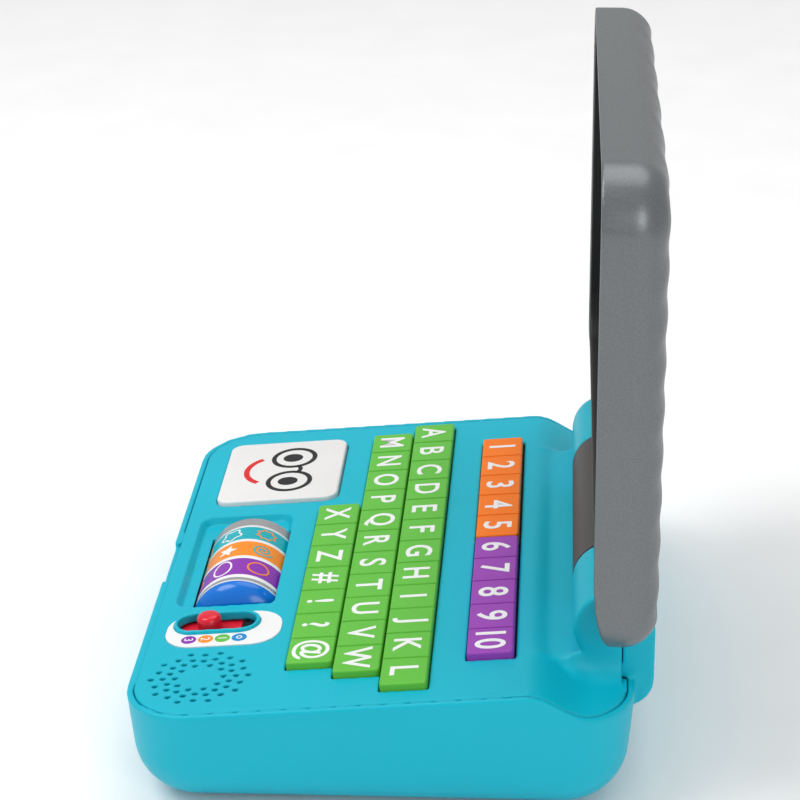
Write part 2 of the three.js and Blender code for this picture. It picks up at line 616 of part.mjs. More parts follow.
function lidShell() {
  const outer = cut(lidForm(0, LID_FRONT), noseRoom(0), knuckle(archR, -KNUCKLE_OUT - 1, KNUCKLE_OUT + 1));
  const inner = cut(lidForm(WALL, LID_FRONT - 1), noseRoom(WALL),
    knuckle(archR + WALL, -KNUCKLE_OUT - 1 - WALL, KNUCKLE_OUT + 1 + WALL));
  const frontOpen = cut(
    lidForm(WALL, LID_FRONT - 3).intersect(box(-HALF, HALF, AXIS_Y - 20, AXIS_Y + BEZEL_BACK, 0, 300)),
    knuckle(archR + WALL, -KNUCKLE_OUT - 1 - WALL, KNUCKLE_OUT + 1 + WALL));
  const neckSlot = box(-NECK.half - GAP, NECK.half + GAP, AXIS_Y + NECK.y0 - GAP, AXIS_Y + NECK.y1 + GAP,
    AXIS_Z, AXIS_Z + NECK.top);
  const screwHoles = lidScrewPlaces().map(([x, z]) => lidScrewRod(x, z, 3.4, LID_BACK - 3, LID_BACK + 1));
  return cut(outer, inner, frontOpen, neckSlot, ...screwHoles);
}
const lidScrewPlaces = () => [[-112, 92], [112, 92], [-112, 244], [112, 244]];
function lidScrewRod(x, z, radius, y0, y1) {
  const rod = new THREE.CylinderGeometry(radius, radius, y1 - y0, 12);
  return solid(rod.translate(x, AXIS_Y + (y0 + y1) / 2, z));
}
place(frame, "lid_back_shell", lidShell(), LID_GREY);

function lidBezel() {
  const edge = WALL + GAP;
  const blank = cut(
    lidForm(edge, BEZEL_FRONT).intersect(box(-HALF, HALF, 0, AXIS_Y + BEZEL_BACK, 0, 300)),
    noseRoom(GAP),
    knuckle(archR + WALL + GAP, -KNUCKLE_OUT - 1 - edge, KNUCKLE_OUT + 1 + edge),
    box(-NECK.half - GAP, NECK.half + GAP, AXIS_Y + NECK.y0 - GAP, AXIS_Y + NECK.y1 + GAP,
      0, AXIS_Z + NECK.top),
  );
  const half = LID_WIDTH / 2 - edge - 2;
  const tray = prismY(roundRect(-half, half, TRAY_BOTTOM, LID_TOP - edge - 2, LID_CORNER - edge - 2),
    AXIS_Y + LID_FRONT - 2, AXIS_Y + LID_FRONT + TRAY_DEPTH);
  const screenHole = prismY(roundRect(...SCREEN_X, ...SCREEN_Z, 8), AXIS_Y - 20, AXIS_Y + 20);
  return cut(blank, tray, screenHole);
}
place(frame, "lid_bezel", lidBezel(), DARK);

const lensFront = AXIS_Y + LID_FRONT + TRAY_DEPTH + 0.6;
place(frame, "screen_lens",
  prismY(roundRect(SCREEN_X[0] + GAP, SCREEN_X[1] - GAP, SCREEN_Z[0] + GAP, SCREEN_Z[1] - GAP, 8 - GAP),
    lensFront, lensFront + 1.5), LENS);
place(frame, "screen_card",
  prismY(roundRect(SCREEN_X[0] - 4, SCREEN_X[1] + 4, SCREEN_Z[0] - 4, SCREEN_Z[1] + 4, 4),
    AXIS_Y + BEZEL_BACK + GAP, AXIS_Y + BEZEL_BACK + GAP + 1), SCREEN);
place(frame, "screen_backing_plate",
  prismY(roundRect(SCREEN_X[0] - 8, SCREEN_X[1] + 8, SCREEN_Z[0] - 8, SCREEN_Z[1] + 8, 4),
    AXIS_Y + BEZEL_BACK + 1.6 + GAP, AXIS_Y + BEZEL_BACK + 3.4), WHITE);
for (const [i, [x, z]] of lidScrewPlaces().entries())
  place(frame, `lid_screw_${i + 1}`, unite(
    lidScrewRod(x, z, 3, LID_BACK - 2.8, LID_BACK - 1),
    lidScrewRod(x, z, 1.5, LID_BACK - 8, LID_BACK - 2)), STEEL);

function hingeBarrel() {
  const neck = box(-NECK.half, NECK.half, AXIS_Y + NECK.y0, AXIS_Y + NECK.y1,
    AXIS_Z, AXIS_Z + NECK.top - GAP);
  const barrel = knuckle(KNUCKLE_R, -KNUCKLE_IN + 0.6, KNUCKLE_IN - 0.6);
  const bores = bothSides((side) => {
    const [x0, x1] = across(side, KNUCKLE_IN - 12, KNUCKLE_IN);
    return rodX(PIN_R + GAP, x0, x1, AXIS_Y, AXIS_Z, 16);
  });
  return cut(unite(neck, barrel), bores);
}
place(frame, "hinge_barrel", hingeBarrel(), BARREL_GREY);

// The origin is under the middle of the whole object.
const bounds = new THREE.Box3().setFromObject(part);
frame.position.y = -(bounds.min.y + bounds.max.y) / 2;

export default part;
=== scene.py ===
import json
import math

import bmesh
import bpy
from mathutils import Matrix, Vector


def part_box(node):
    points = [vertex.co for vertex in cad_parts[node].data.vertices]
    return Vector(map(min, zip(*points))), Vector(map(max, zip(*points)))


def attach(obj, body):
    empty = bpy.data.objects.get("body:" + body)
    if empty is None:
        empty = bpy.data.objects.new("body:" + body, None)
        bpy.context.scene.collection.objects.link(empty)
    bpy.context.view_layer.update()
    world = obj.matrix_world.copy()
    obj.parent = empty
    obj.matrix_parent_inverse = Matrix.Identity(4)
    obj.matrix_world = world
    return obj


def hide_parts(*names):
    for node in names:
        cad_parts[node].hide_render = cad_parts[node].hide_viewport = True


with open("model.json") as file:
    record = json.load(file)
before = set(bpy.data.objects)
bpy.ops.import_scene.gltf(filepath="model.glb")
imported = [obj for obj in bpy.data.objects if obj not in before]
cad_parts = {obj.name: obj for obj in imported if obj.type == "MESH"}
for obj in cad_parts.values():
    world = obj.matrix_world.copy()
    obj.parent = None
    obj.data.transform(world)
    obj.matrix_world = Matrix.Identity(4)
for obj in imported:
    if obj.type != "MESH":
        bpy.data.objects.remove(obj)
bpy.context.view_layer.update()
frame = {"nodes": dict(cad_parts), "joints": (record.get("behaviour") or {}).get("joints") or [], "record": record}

# ---- sizes, in millimetres in the base frame: Y from the tub's front face, Z from the floor
MM = 0.001
GAP = 0.3  # the fit between neighbouring mouldings
WALL = 2.6  # the housing and the lid shell
SKIN = 2.4  # the deck cover and the bezel
BASE_LOW, BASE_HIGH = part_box("lower_housing")
FRONT_Y = BASE_LOW.y
HALF = (BASE_HIGH.x - BASE_LOW.x) / 2 / MM
FLOOR_Z = BASE_LOW.z / MM
HINGE = next(j for j in frame["joints"] if j["name"] == "lid_hinge")
AXIS_Y = (HINGE["pos_m"][1] - FRONT_Y) / MM
AXIS_Z = HINGE["pos_m"][2] / MM

BASE_DEPTH = 198.7
TUB_CORNER = 28  # corner radius in plan
TUB_DRAFT = 4  # how far the walls lean in from the rim to the floor
TUB_FILLET = 21  # the round between wall and floor
LOFT_TOP = 100  # above every rim, where the tub is trimmed
DECK_FRONT_Z = 44.1
DECK_TILT = math.radians(4.8)
DECK_REAR_Y = 157  # the deck ends here, with the platform up behind it
PLATFORM_Y = 161.5
PLATFORM_Z = 55.4
SADDLE_Z = 47.1  # the low rim beside the knuckles
SADDLE_Y = 184
SKIRT = 7  # depth of the deck cover's edge inside the tub
KNUCKLE_R = 16
KNUCKLE_IN = 54  # the barrel lies between the knuckles' inner faces
KNUCKLE_OUT = 98
PARTING_Y = 193.9  # where deck cover and housing meet on the knuckles
BULGE_REAR = 16.1  # the hinge housing behind the axis
BULGE_R = 12
BULGE_BOTTOM = 34
TROUGH_TOP = 58  # the rear wall's top edge behind the barrel
SADDLE_SWEEP = 9  # widest radius of the curve beside the knuckle
COVER_REAR_Z = 52.6
NOTCH_HALF = 18  # half width of the finger notch in the front rim
BARREL_CLEAR = 0.6  # room between the hinge barrel and what surrounds it
DOOR_CLEAR = 0.4
DOOR_TAB_HALF = 8.1
DOOR_TAB_LENGTH = 13.5
FOOT_POCKET_R = 8.3
SCREW_WELL_R = 3.7

LID_WIDTH = 260.2
LID_BOTTOM = 69
LID_TOP = 262
LID_CORNER = 23
LID_FRONT = -9  # the lid's faces, from the hinge axis along Y
LID_BACK = 15.7
LID_FILLET = 13
LID_NOSE_RISE = 40  # the curve under the lid's front face
LID_NOSE_BACK = 10.4
ARCH_R = KNUCKLE_R + 0.9  # the lid's hollow over the knuckles
TRAY_DEPTH = 11.5
TRAY_BOTTOM = 105.3
BEZEL_FRONT = LID_FRONT + 0.5
BEZEL_BACK = LID_FRONT + TRAY_DEPTH + SKIN
NECK_HALF, NECK_Y0, NECK_Y1, NECK_TOP = 50, -3, 9, 30
SCREEN_X = (-88, 88)
SCREEN_Z = (128, 238)
LID_SCREWS = [(-112, 92), (112, 92), (-112, 244), (112, 244)]
WAVE_X, WAVE_Z, WAVE_DEPTH = 42, 18, 0.28  # the lid back's embossed waves

KEY_PITCH = 20.44
ROW_PITCH = 19.23
KEY_TOP = 2.8  # above the deck
KEY_FOOT = 3.2  # below the deck
KEY_GAP = 0.5
DIGIT_SIZE = 17
LETTER_SIZE = 15.6
TOP_ROW_V = 100.3
NUMBER_ROW_V = 133.2
OPENING_CLEAR = 0.4  # room round the picture button
DRUM_R = 20
DRUM_DEPTH = 13.8  # the roller's axis below the deck
DRUM_V = 33.9
DRUM_X = (-25.5, 42.4)
SLEEVE_END = 33.4  # the blue dome shows from here on
RECESS_X = (-42, 43.3)
RECESS_V = (9, 50.8)
RECESS_DROP = 3.4
RECESS_SLOPE = 2.2  # the finger recess round the roller leans in by this
RECESS_R = 7
WELL_HALF = 16.9  # half width of the roller's well
WELL_CLEAR = 0.9  # room at each end of the roller
AXLE_R = 2.4
SLIDER_X = 59.4
SLIDER_V = 26.4
SLIDER_STEP = 6.9
SLOT_V = (13.2, 45.8)
SLOT_R = 6.9
LIP = 1.6  # the raised lip round the slider's slot
LABEL_V = (9.2, 56.6)
LABEL_X = (50.4, 78.2)
LABEL_R = 12
DOT_X = 72.3  # the coloured dots beside the slot
FACE_X = (-115.7, -52.6)
FACE_V = (13.5, 68.8)
FACE_R = 6
SPEAKER = (102.3, 28.1)
SPEAKER_RINGS = [(9.7, 18), (12.9, 0), (14.6, 18), (17.8, 0), (19.4, 18)]  # radius, first angle
SPEAKER_ARMS = 10
SPEAKER_HOLE_R = 1.25

KEY_ROWS = [  # node, first x, characters, v, material slot
    ("number_keys_low", -103.2, ["1", "2", "3", "4", "5"], NUMBER_ROW_V, "orange_plastic"),
    ("number_keys_high", -103.2 + 5 * KEY_PITCH, ["6", "7", "8", "9", "10"], NUMBER_ROW_V, "purple_plastic"),
    ("letter_keys_top", -123.8, list("ABCDEFGHIJKL"), TOP_ROW_V, "green_plastic"),
    ("letter_keys_middle", -115.4, list("MNOPQRSTUVW"), TOP_ROW_V - ROW_PITCH, "green_plastic"),
    ("letter_keys_bottom", -42.2, list("XYZ#!?@"), TOP_ROW_V - 2 * ROW_PITCH, "green_plastic"),
]

# A point (x, v, w) lies x across the deck, v up its slope and w above it.
DECK = Matrix.Translation((0, 0, DECK_FRONT_Z)) @ Matrix.Rotation(DECK_TILT, 4, "X")
TO_FRAME = Matrix.Translation((0, FRONT_Y, 0)) @ Matrix.Diagonal((MM, MM, MM, 1))


# ---- camera and light -----------------------------------------------------------------
CAMERA_PLACE = (0.9281, 0.0632, 0.5236)  # metres
CAMERA_ANGLES = (2.47, 23.24, -0.17)  # azimuth, elevation and roll, in degrees
CAMERA_LENS = 109
CAMERA_SHIFT = (-0.0747, -0.0068)
SKY_STRENGTH = 0.52
LIGHTS = [  # name, place, aim, size, power
    ("key_light", (0.2, -1.0, 1.7), (0, 0, 0.05), 1.2, 17),
    ("top_light", (-0.6, 0.3, 1.9), (0, 0, 0.05), 1.6, 11),
    ("side_light", (1.7, 0.9, 0.9), (0, 0, 0.1), 1.0, 8),
]


def add_camera():
    """The camera stands beside the base at its right, looking along the hinge and down."""
    azimuth, elevation, roll = (math.radians(angle) for angle in CAMERA_ANGLES)
    back = Vector((
        math.cos(azimuth) * math.cos(elevation),
        math.sin(azimuth) * math.cos(elevation),
        math.sin(elevation),
    ))
    right = (-back).cross(Vector((0, 0, 1))).normalized()
    up = right.cross(-back)
    side = right * math.cos(roll) + up * math.sin(roll)
    top = up * math.cos(roll) - right * math.sin(roll)
    data = bpy.data.cameras.new("camera")
    camera = bpy.data.objects.new("camera", data)
    bpy.context.scene.collection.objects.link(camera)
    rotation = Matrix((side, top, back)).transposed().to_4x4()
    camera.matrix_world = Matrix.Translation(CAMERA_PLACE) @ rotation
    data.lens = CAMERA_LENS
    data.sensor_width = 36
    data.shift_x, data.shift_y = CAMERA_SHIFT
    data.clip_end = 20
    bpy.context.scene.camera = camera


def add_light(name, place, aim, size, power):
    data = bpy.data.lights.new(name, "AREA")
    data.shape = "DISK"
    data.size = size
    data.energy = power
    light = bpy.data.objects.new(name, data)
    bpy.context.scene.collection.objects.link(light)
    light.location = place
    light.rotation_mode = "QUATERNION"
    light.rotation_quaternion = (Vector(aim) - Vector(place)).to_track_quat("-Z", "Y")


def add_studio():
    world = bpy.data.worlds.new("studio")
    bpy.context.scene.world = world
    world.use_nodes = True
    world.node_tree.nodes["Background"].inputs["Color"].default_value = (1, 1, 1, 1)
    world.node_tree.nodes["Background"].inputs["Strength"].default_value = SKY_STRENGTH
    bpy.context.scene.view_settings.view_transform = "Standard"
    for light in LIGHTS:
        add_light(*light)
    bpy.ops.mesh.primitive_plane_add(size=30)
    floor = bpy.context.object
    floor.name = "floor"
    floor.data.materials.append(plastic("floor_paper", (0.97, 0.97, 0.97), 0.9, grain=0))


# ---- materials ------------------------------------------------------------------------
def new_material(name):
    material = bpy.data.materials.new(name)
    material.use_nodes = True
    return material, material.node_tree, material.node_tree.nodes["Principled BSDF"]


def add_node(tree, kind, **values):
    node = tree.nodes.new(kind)
    for key, value in values.items():
        setattr(node, key, value)
    return node


def noise_at(tree, scale, detail=2.0):
    where = add_node(tree, "ShaderNodeTexCoord")
    texture = add_node(tree, "ShaderNodeTexNoise")
    texture.inputs["Scale"].default_value = scale
    texture.inputs["Detail"].default_value = detail
    tree.links.new(where.outputs["Object"], texture.inputs["Vector"])
    return texture


def spread(tree, source, low, high):
    """A 0 to 1 value remapped to a narrow range."""
    remap = add_node(tree, "ShaderNodeMapRange")
    remap.inputs["From Min"].default_value = 0.3
    remap.inputs["From Max"].default_value = 0.7
    remap.inputs["To Min"].default_value = low
    remap.inputs["To Max"].default_value = high
    tree.links.new(source, remap.inputs["Value"])
    return remap.outputs["Result"]


def plastic(name, color, roughness, grain=0.06, metallic=0.0, coat=0.0):
    """Moulded plastic: faint flow marks in the colour, fine grain in the gloss and the surface."""
    material, tree, shader = new_material(name)
    shader.inputs["Metallic"].default_value = metallic
    shader.inputs["Coat Weight"].default_value = coat
    shader.inputs["Specular IOR Level"].default_value = 0.28
    shader.inputs["Coat Roughness"].default_value = 0.15
    clouds = noise_at(tree, 18, 3)
    tint = add_node(tree, "ShaderNodeMix", data_type="RGBA")
    tint.inputs["A"].default_value = (*[c * 0.95 for c in color], 1)
    tint.inputs["B"].default_value = (*[min(1, c * 1.04) for c in color], 1)
    tree.links.new(clouds.outputs["Fac"], tint.inputs["Factor"])
    tree.links.new(tint.outputs["Result"], shader.inputs["Base Color"])
    fine = noise_at(tree, 1400, 3)
    tree.links.new(spread(tree, fine.outputs["Fac"], roughness - 0.05, roughness + 0.07),
                   shader.inputs["Roughness"])
    if grain:
        bump = add_node(tree, "ShaderNodeBump")
        bump.inputs["Strength"].default_value = grain
        bump.inputs["Distance"].default_value = 0.0002
        tree.links.new(fine.outputs["Fac"], bump.inputs["Height"])
        tree.links.new(bump.outputs["Normal"], shader.inputs["Normal"])
    return material


def flake_plastic(name, color):
    """Grey plastic with metallic flakes: tiny cells that differ in brightness and gloss."""
    material, tree, shader = new_material(name)
    where = add_node(tree, "ShaderNodeTexCoord")
    cells = add_node(tree, "ShaderNodeTexVoronoi")
    cells.inputs["Scale"].default_value = 4200
    tree.links.new(where.outputs["Object"], cells.inputs["Vector"])
    brightness = add_node(tree, "ShaderNodeSeparateColor")
    tree.links.new(cells.outputs["Color"], brightness.inputs["Color"])
    tint = add_node(tree, "ShaderNodeMix", data_type="RGBA")
    tint.inputs["A"].default_value = (*[c * 0.86 for c in color], 1)
    tint.inputs["B"].default_value = (*[min(1, c * 1.16) for c in color], 1)
    tree.links.new(brightness.outputs["Red"], tint.inputs["Factor"])
    tree.links.new(tint.outputs["Result"], shader.inputs["Base Color"])
    tree.links.new(spread(tree, brightness.outputs["Green"], 0.28, 0.4), shader.inputs["Roughness"])
    shader.inputs["Metallic"].default_value = 0.55
    bump = add_node(tree, "ShaderNodeBump")
    bump.inputs["Strength"].default_value = 0.1
    bump.inputs["Distance"].default_value = 0.0002
    tree.links.new(brightness.outputs["Blue"], bump.inputs["Height"])
    tree.links.new(bump.outputs["Normal"], shader.inputs["Normal"])
    return material


def clear_plastic(name):
    material, tree, shader = new_material(name)
    shader.inputs["Base Color"].default_value = (0.96, 0.98, 0.99, 1)
    shader.inputs["Transmission Weight"].default_value = 1.0
    shader.inputs["IOR"].default_value = 1.46
    fine = noise_at(tree, 60, 2)
    tree.links.new(spread(tree, fine.outputs["Fac"], 0.03, 0.06), shader.inputs["Roughness"])
    return material


def glitter(name, color):
    """Silver glitter band: bright flat flakes in a grey ground."""
    material = flake_plastic(name, color)
    shader = material.node_tree.nodes["Principled BSDF"]
    shader.inputs["Metallic"].default_value = 0.52
    return material


MATERIALS = {
    "teal_plastic": plastic("teal_moulding", (0.0, 0.46, 0.6), 0.42),
    "green_plastic": plastic("green_moulding", (0.125, 0.52, 0.05), 0.34),
    "orange_plastic": plastic("orange_moulding", (1.0, 0.2, 0.0), 0.34),
    "purple_plastic": plastic("purple_moulding", (0.33, 0.055, 0.46), 0.34),
    "red_plastic": plastic("red_moulding", (0.75, 0.01, 0.03), 0.2, grain=0.02, coat=0.3),
    "white_plastic": plastic("white_moulding", (0.8, 0.79, 0.78), 0.3, grain=0.03),
    "blue_plastic": plastic("blue_moulding", (0.0, 0.17, 0.66), 0.18, grain=0.02, coat=0.4),
    "printed_sleeve": plastic("sleeve_white", (0.84, 0.84, 0.85), 0.25, grain=0.02),
    "label_card": plastic("label_white", (0.86, 0.86, 0.86), 0.35, grain=0.02),
    "lid_grey": flake_plastic("lid_flake_grey", (0.17, 0.182, 0.19)),
    "dark_plastic": plastic("dark_moulding", (0.022, 0.022, 0.023), 0.42),
    "barrel_grey": plastic("barrel_moulding", (0.07, 0.062, 0.062), 0.45),
    "screen_print": plastic("screen_sky", (0.35, 0.68, 0.86), 0.4, grain=0.02),
    "clear_plastic": clear_plastic("lens_clear"),
    "rubber": plastic("rubber_grey", (0.035, 0.035, 0.038), 0.8, grain=0.2),
    "steel": plastic("zinc_steel", (0.6, 0.6, 0.62), 0.3, grain=0.1, metallic=1.0),
    "board": plastic("solder_mask", (0.012, 0.13, 0.045), 0.4, grain=0.1),
    "battery_jacket": plastic("battery_wrap", (0.72, 0.3, 0.02), 0.3, metallic=0.4),
}
INK_WHITE = plastic("ink_white", (0.88, 0.88, 0.88), 0.4, grain=0.02)
INK_BLACK = plastic("ink_black", (0.012, 0.012, 0.014), 0.4, grain=0.02)
INK_RED = plastic("ink_red", (0.7, 0.015, 0.02), 0.4, grain=0.02)
INK_TEAL = plastic("ink_teal", (0.0, 0.42, 0.5), 0.3, grain=0.02)
INK_ORANGE = plastic("ink_orange", (1.0, 0.27, 0.01), 0.3, grain=0.02)
INK_PURPLE = plastic("ink_purple", (0.26, 0.025, 0.43), 0.3, grain=0.02)
INK_GREEN = plastic("ink_green", (0.12, 0.5, 0.06), 0.3, grain=0.02)
INK_BLUE = plastic("ink_blue", (0.01, 0.25, 0.62), 0.3, grain=0.02)
INK_SILVER = glitter("ink_silver_glitter", (0.42, 0.42, 0.43))


# ---- mesh helpers, in millimetres -----------------------------------------------------
def new_object(name, verts, faces):
    mesh = bpy.data.meshes.new(name)
    mesh.from_pydata([tuple(v) for v in verts], [], faces)
    work = bmesh.new()
    work.from_mesh(mesh)
    bmesh.ops.remove_doubles(work, verts=work.verts, dist=1e-5)
    bmesh.ops.recalc_face_normals(work, faces=work.faces)
    work.to_mesh(mesh)
    work.free()
    obj = bpy.data.objects.new(name, mesh)
    bpy.context.scene.collection.objects.link(obj)
    return obj


def loft(rings, name="tool"):
    """A closed solid through rings of points, with a flat cap at each end."""
    count = len(rings[0])
    faces = [tuple(range(count))]
    faces.append(tuple(len(rings) * count - 1 - i for i in range(count)))
    for r in range(len(rings) - 1):
        for i in range(count):
            j = (i + 1) % count
            a, b = r * count, (r + 1) * count
            faces.append((a + i, b + i, b + j, a + j))
    return new_object(name, [p for ring in rings for p in ring], faces)


ORDER = {"X": lambda a, b, t: (t, a, b), "Y": lambda a, b, t: (a, t, b), "Z": lambda a, b, t: (a, b, t)}


def prism(points, axis, low, high):
    place = ORDER[axis]
    return loft([[place(a, b, low) for a, b in points], [place(a, b, high) for a, b in points]])


def box(x0, x1, y0, y1, z0, z1):
    return prism([(x0, y0), (x1, y0), (x1, y1), (x0, y1)], "Z", z0, z1)


def circle(radius, a, b, sides):
    turns = [2 * math.pi * i / sides for i in range(sides)]
    return [(a + radius * math.cos(t), b + radius * math.sin(t)) for t in turns]


def rod(axis, radius, low, high, a, b, sides=48):
    return prism(circle(radius, a, b, sides), axis, low, high)


def round_rect(a0, a1, b0, b1, radius, steps=12):
    points = []
    corners = [(a1 - radius, b0 + radius, -90), (a1 - radius, b1 - radius, 0),
               (a0 + radius, b1 - radius, 90), (a0 + radius, b0 + radius, 180)]
    for a, b, start in corners:
        for i in range(steps + 1):
            turn = math.radians(start + 90 * i / steps)
            points.append((a + radius * math.cos(turn), b + radius * math.sin(turn)))
    return points


def grown(a, b, by, radius, steps=12):
    """The rounded rectangle over two ranges, grown by a margin on every side."""
    return round_rect(a[0] - by, a[1] + by, b[0] - by, b[1] + by, radius, steps)


def combine(target, tools, operation):
    """target joined with, or cut by, each tool in turn; the tools are used up."""
    for tool in tools:
        modifier = target.modifiers.new("combine", "BOOLEAN")
        modifier.operation = operation
        modifier.solver = "MANIFOLD"
        modifier.object = tool
        bake(target)
        bpy.data.objects.remove(tool)
    return target


def bake(obj):
    """The object's modifiers become its mesh."""
    graph = bpy.context.evaluated_depsgraph_get()
    mesh = bpy.data.meshes.new_from_object(obj.evaluated_get(graph))
    obj.modifiers.clear()
    obj.data = mesh


def cut(target, *tools):
    return combine(target, tools, "DIFFERENCE")


def unite(target, *tools):
    return combine(target, tools, "UNION")


def common(target, *tools):
    return combine(target, tools, "INTERSECT")


def joined(objects):
    """Separate objects as one object, with no boolean."""
    work = bmesh.new()
    for obj in objects:
        work.from_mesh(obj.data)
        bpy.data.objects.remove(obj)
    mesh = bpy.data.meshes.new("joined")
    work.to_mesh(mesh)
    work.free()
    obj = bpy.data.objects.new("joined", mesh)
    bpy.context.scene.collection.objects.link(obj)
    return obj


def tilted(obj):
    obj.data.transform(DECK)
    return obj


def both_sides(make):
    return unite(make(-1), make(1))


def across(side, near, far):
    return (near, far) if side > 0 else (-far, -near)


def moulded(obj, voxel, rounds, keep, soften=None, shift=None):
    """Softens a sharp solid like a moulding: a fine even mesh, smoothed, then thinned.

    soften(point) gives 0 to 1 where the surface flows more; shift(point) moves a point.
    keep is the share of faces left; the fine mesh's normals are kept."""
    modifier = obj.modifiers.new("remesh", "REMESH")
    modifier.mode = "VOXEL"
    modifier.voxel_size = voxel
    modifier = obj.modifiers.new("smooth", "SMOOTH")
    modifier.factor = 0.5
    modifier.iterations = rounds
    bake(obj)
    if soften:
        group = obj.vertex_groups.new(name="soft")
        for vertex in obj.data.vertices:
            weight = soften(vertex.co)
            if weight > 0.01:
                group.add([vertex.index], weight, "REPLACE")
        modifier = obj.modifiers.new("flow", "SMOOTH")
        modifier.factor = 0.5
        modifier.iterations = 80
        modifier.vertex_group = "soft"
        bake(obj)
        obj.vertex_groups.clear()
    if shift:
        for vertex in obj.data.vertices:
            vertex.co = shift(vertex.co)
    obj.data.shade_smooth()
    dense = bpy.data.objects.new("dense", obj.data.copy())
    bpy.context.scene.collection.objects.link(dense)
    thin = obj.modifiers.new("thin", "DECIMATE")
    thin.ratio = keep
    carry = obj.modifiers.new("normals", "DATA_TRANSFER")
    carry.object = dense
    carry.use_loop_data = True
    carry.data_types_loops = {"CUSTOM_NORMAL"}
    carry.loop_mapping = "POLYINTERP_NEAREST"
    bake(obj)
    bpy.data.objects.remove(dense)
    return obj


def beveled(obj, width, segments=2, angle=35):
    modifier = obj.modifiers.new("bevel", "BEVEL")
    modifier.width = width
    modifier.segments = segments
    modifier.limit_method = "ANGLE"
    modifier.angle_limit = math.radians(angle)
    modifier.harden_normals = True
    obj.data.shade_smooth()
    bake(obj)
    return obj


def piece(obj, name, body, slot, nodes=(), material=None):
    """Names a finished solid, moves it from millimetres to the frame and lets it ride."""
    obj.name = name
    obj.data.name = name
    obj.data.transform(TO_FRAME)
    obj.data.materials.clear()
    obj.data.materials.append(material or MATERIALS[slot])
    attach(obj, body)
    if nodes:
        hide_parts(*nodes)
    return obj


# ---- the base -------------------------------------------------------------------------
def node_middle(node):
    """A CAD node's middle in plan, then its bottom and top, in millimetres."""
    low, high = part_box(node)
    middle = (low + high) / 2
    return (middle.x / MM, (middle.y - FRONT_Y) / MM, low.z / MM, high.z / MM)


def deck_z(y):
    return DECK_FRONT_Z + y * math.tan(DECK_TILT)


def rim_z(y):
    """Height of the rim line: the deck plane, then a smooth dip beside the hinge."""
    if y < DECK_REAR_Y:
        return deck_z(y)
    share = min(1, (y - DECK_REAR_Y) / (SADDLE_Y - DECK_REAR_Y))
    dip = (1 - math.cos(math.pi * share)) / 2
    return deck_z(DECK_REAR_Y) + (SADDLE_Z - deck_z(DECK_REAR_Y)) * dip


def tub(inset):
    """The tub's outer form, or the same form taken in by an inset."""
    def ring(z, back):
        d = inset + back + TUB_DRAFT * max(0, 1 - z / DECK_FRONT_Z)
        outline = round_rect(-HALF + d, HALF - d, d, BASE_DEPTH - d, max(TUB_CORNER - d, 3), 16)
        return [(x, y, z) for x, y in outline]

    rings = []
    steps = 12
    for i in range(steps + 1):
        turn = math.pi / 2 * i / steps
        z = FLOOR_Z + inset + TUB_FILLET * (1 - math.cos(turn))
        rings.append(ring(z, TUB_FILLET * (1 - math.sin(turn))))
    rings += [ring(DECK_FRONT_Z, 0), ring(LOFT_TOP, 0)]
    return loft(rings)


def below_rim(drop, x0, x1):
    """Everything further than drop under the rim line."""
    rear = BASE_DEPTH + 20
    points = [(-10, -10), (rear, -10), (rear, SADDLE_Z - drop)]
    steps = 24
    for i in range(steps, -1, -1):
        y = DECK_REAR_Y + (SADDLE_Y - DECK_REAR_Y) * i / steps
        points.append((y, rim_z(y) - drop))
    points.append((-10, deck_z(-10) - drop))
    return prism(points, "X", x0, x1)


def platform_line(drop):
    return [(DECK_REAR_Y - 12, deck_z(DECK_REAR_Y - 12) - drop),
            (DECK_REAR_Y, deck_z(DECK_REAR_Y) - drop), (PLATFORM_Y, PLATFORM_Z - drop)]


def bulge(inset, half_width):
    """The hinge housing behind the tub, rounded below."""
    rear = AXIS_Y + BULGE_REAR - inset
    bottom = BULGE_BOTTOM + inset
    radius = BULGE_R - inset
    points = [(AXIS_Y - 12, bottom)]
    for i in range(13):
        turn = math.pi / 2 * i / 12
        points.append((rear - radius + radius * math.sin(turn), bottom + radius * (1 - math.cos(turn))))
    points += [(rear, AXIS_Z), (AXIS_Y - 12, AXIS_Z)]
    return prism(points, "X", -half_width, half_width)


def knuckle(radius, x0, x1):
    return rod("X", radius, x0, x1, AXIS_Y, AXIS_Z, 96)


def inner_knuckles(wall):
    def one(side):
        x0, x1 = across(side, KNUCKLE_IN + SKIN, KNUCKLE_OUT - wall)
        return knuckle(KNUCKLE_R - wall, x0, x1)
    return both_sides(one)


def door_recess():
    """The battery door's hole in the underside, with the recess for its screw tab behind."""
    low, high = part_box("battery_door")
    half = high.x / MM + DOOR_CLEAR
    front = (low.y - FRONT_Y) / MM - DOOR_CLEAR
    rear = (high.y - FRONT_Y) / MM + DOOR_CLEAR
    tab_front = rear - DOOR_TAB_LENGTH
    return unite(box(-half, half, front, tab_front, -5, FLOOR_Z + 8),
                 box(-DOOR_TAB_HALF, DOOR_TAB_HALF, tab_front - 1, rear, -5, FLOOR_Z + 2.2))


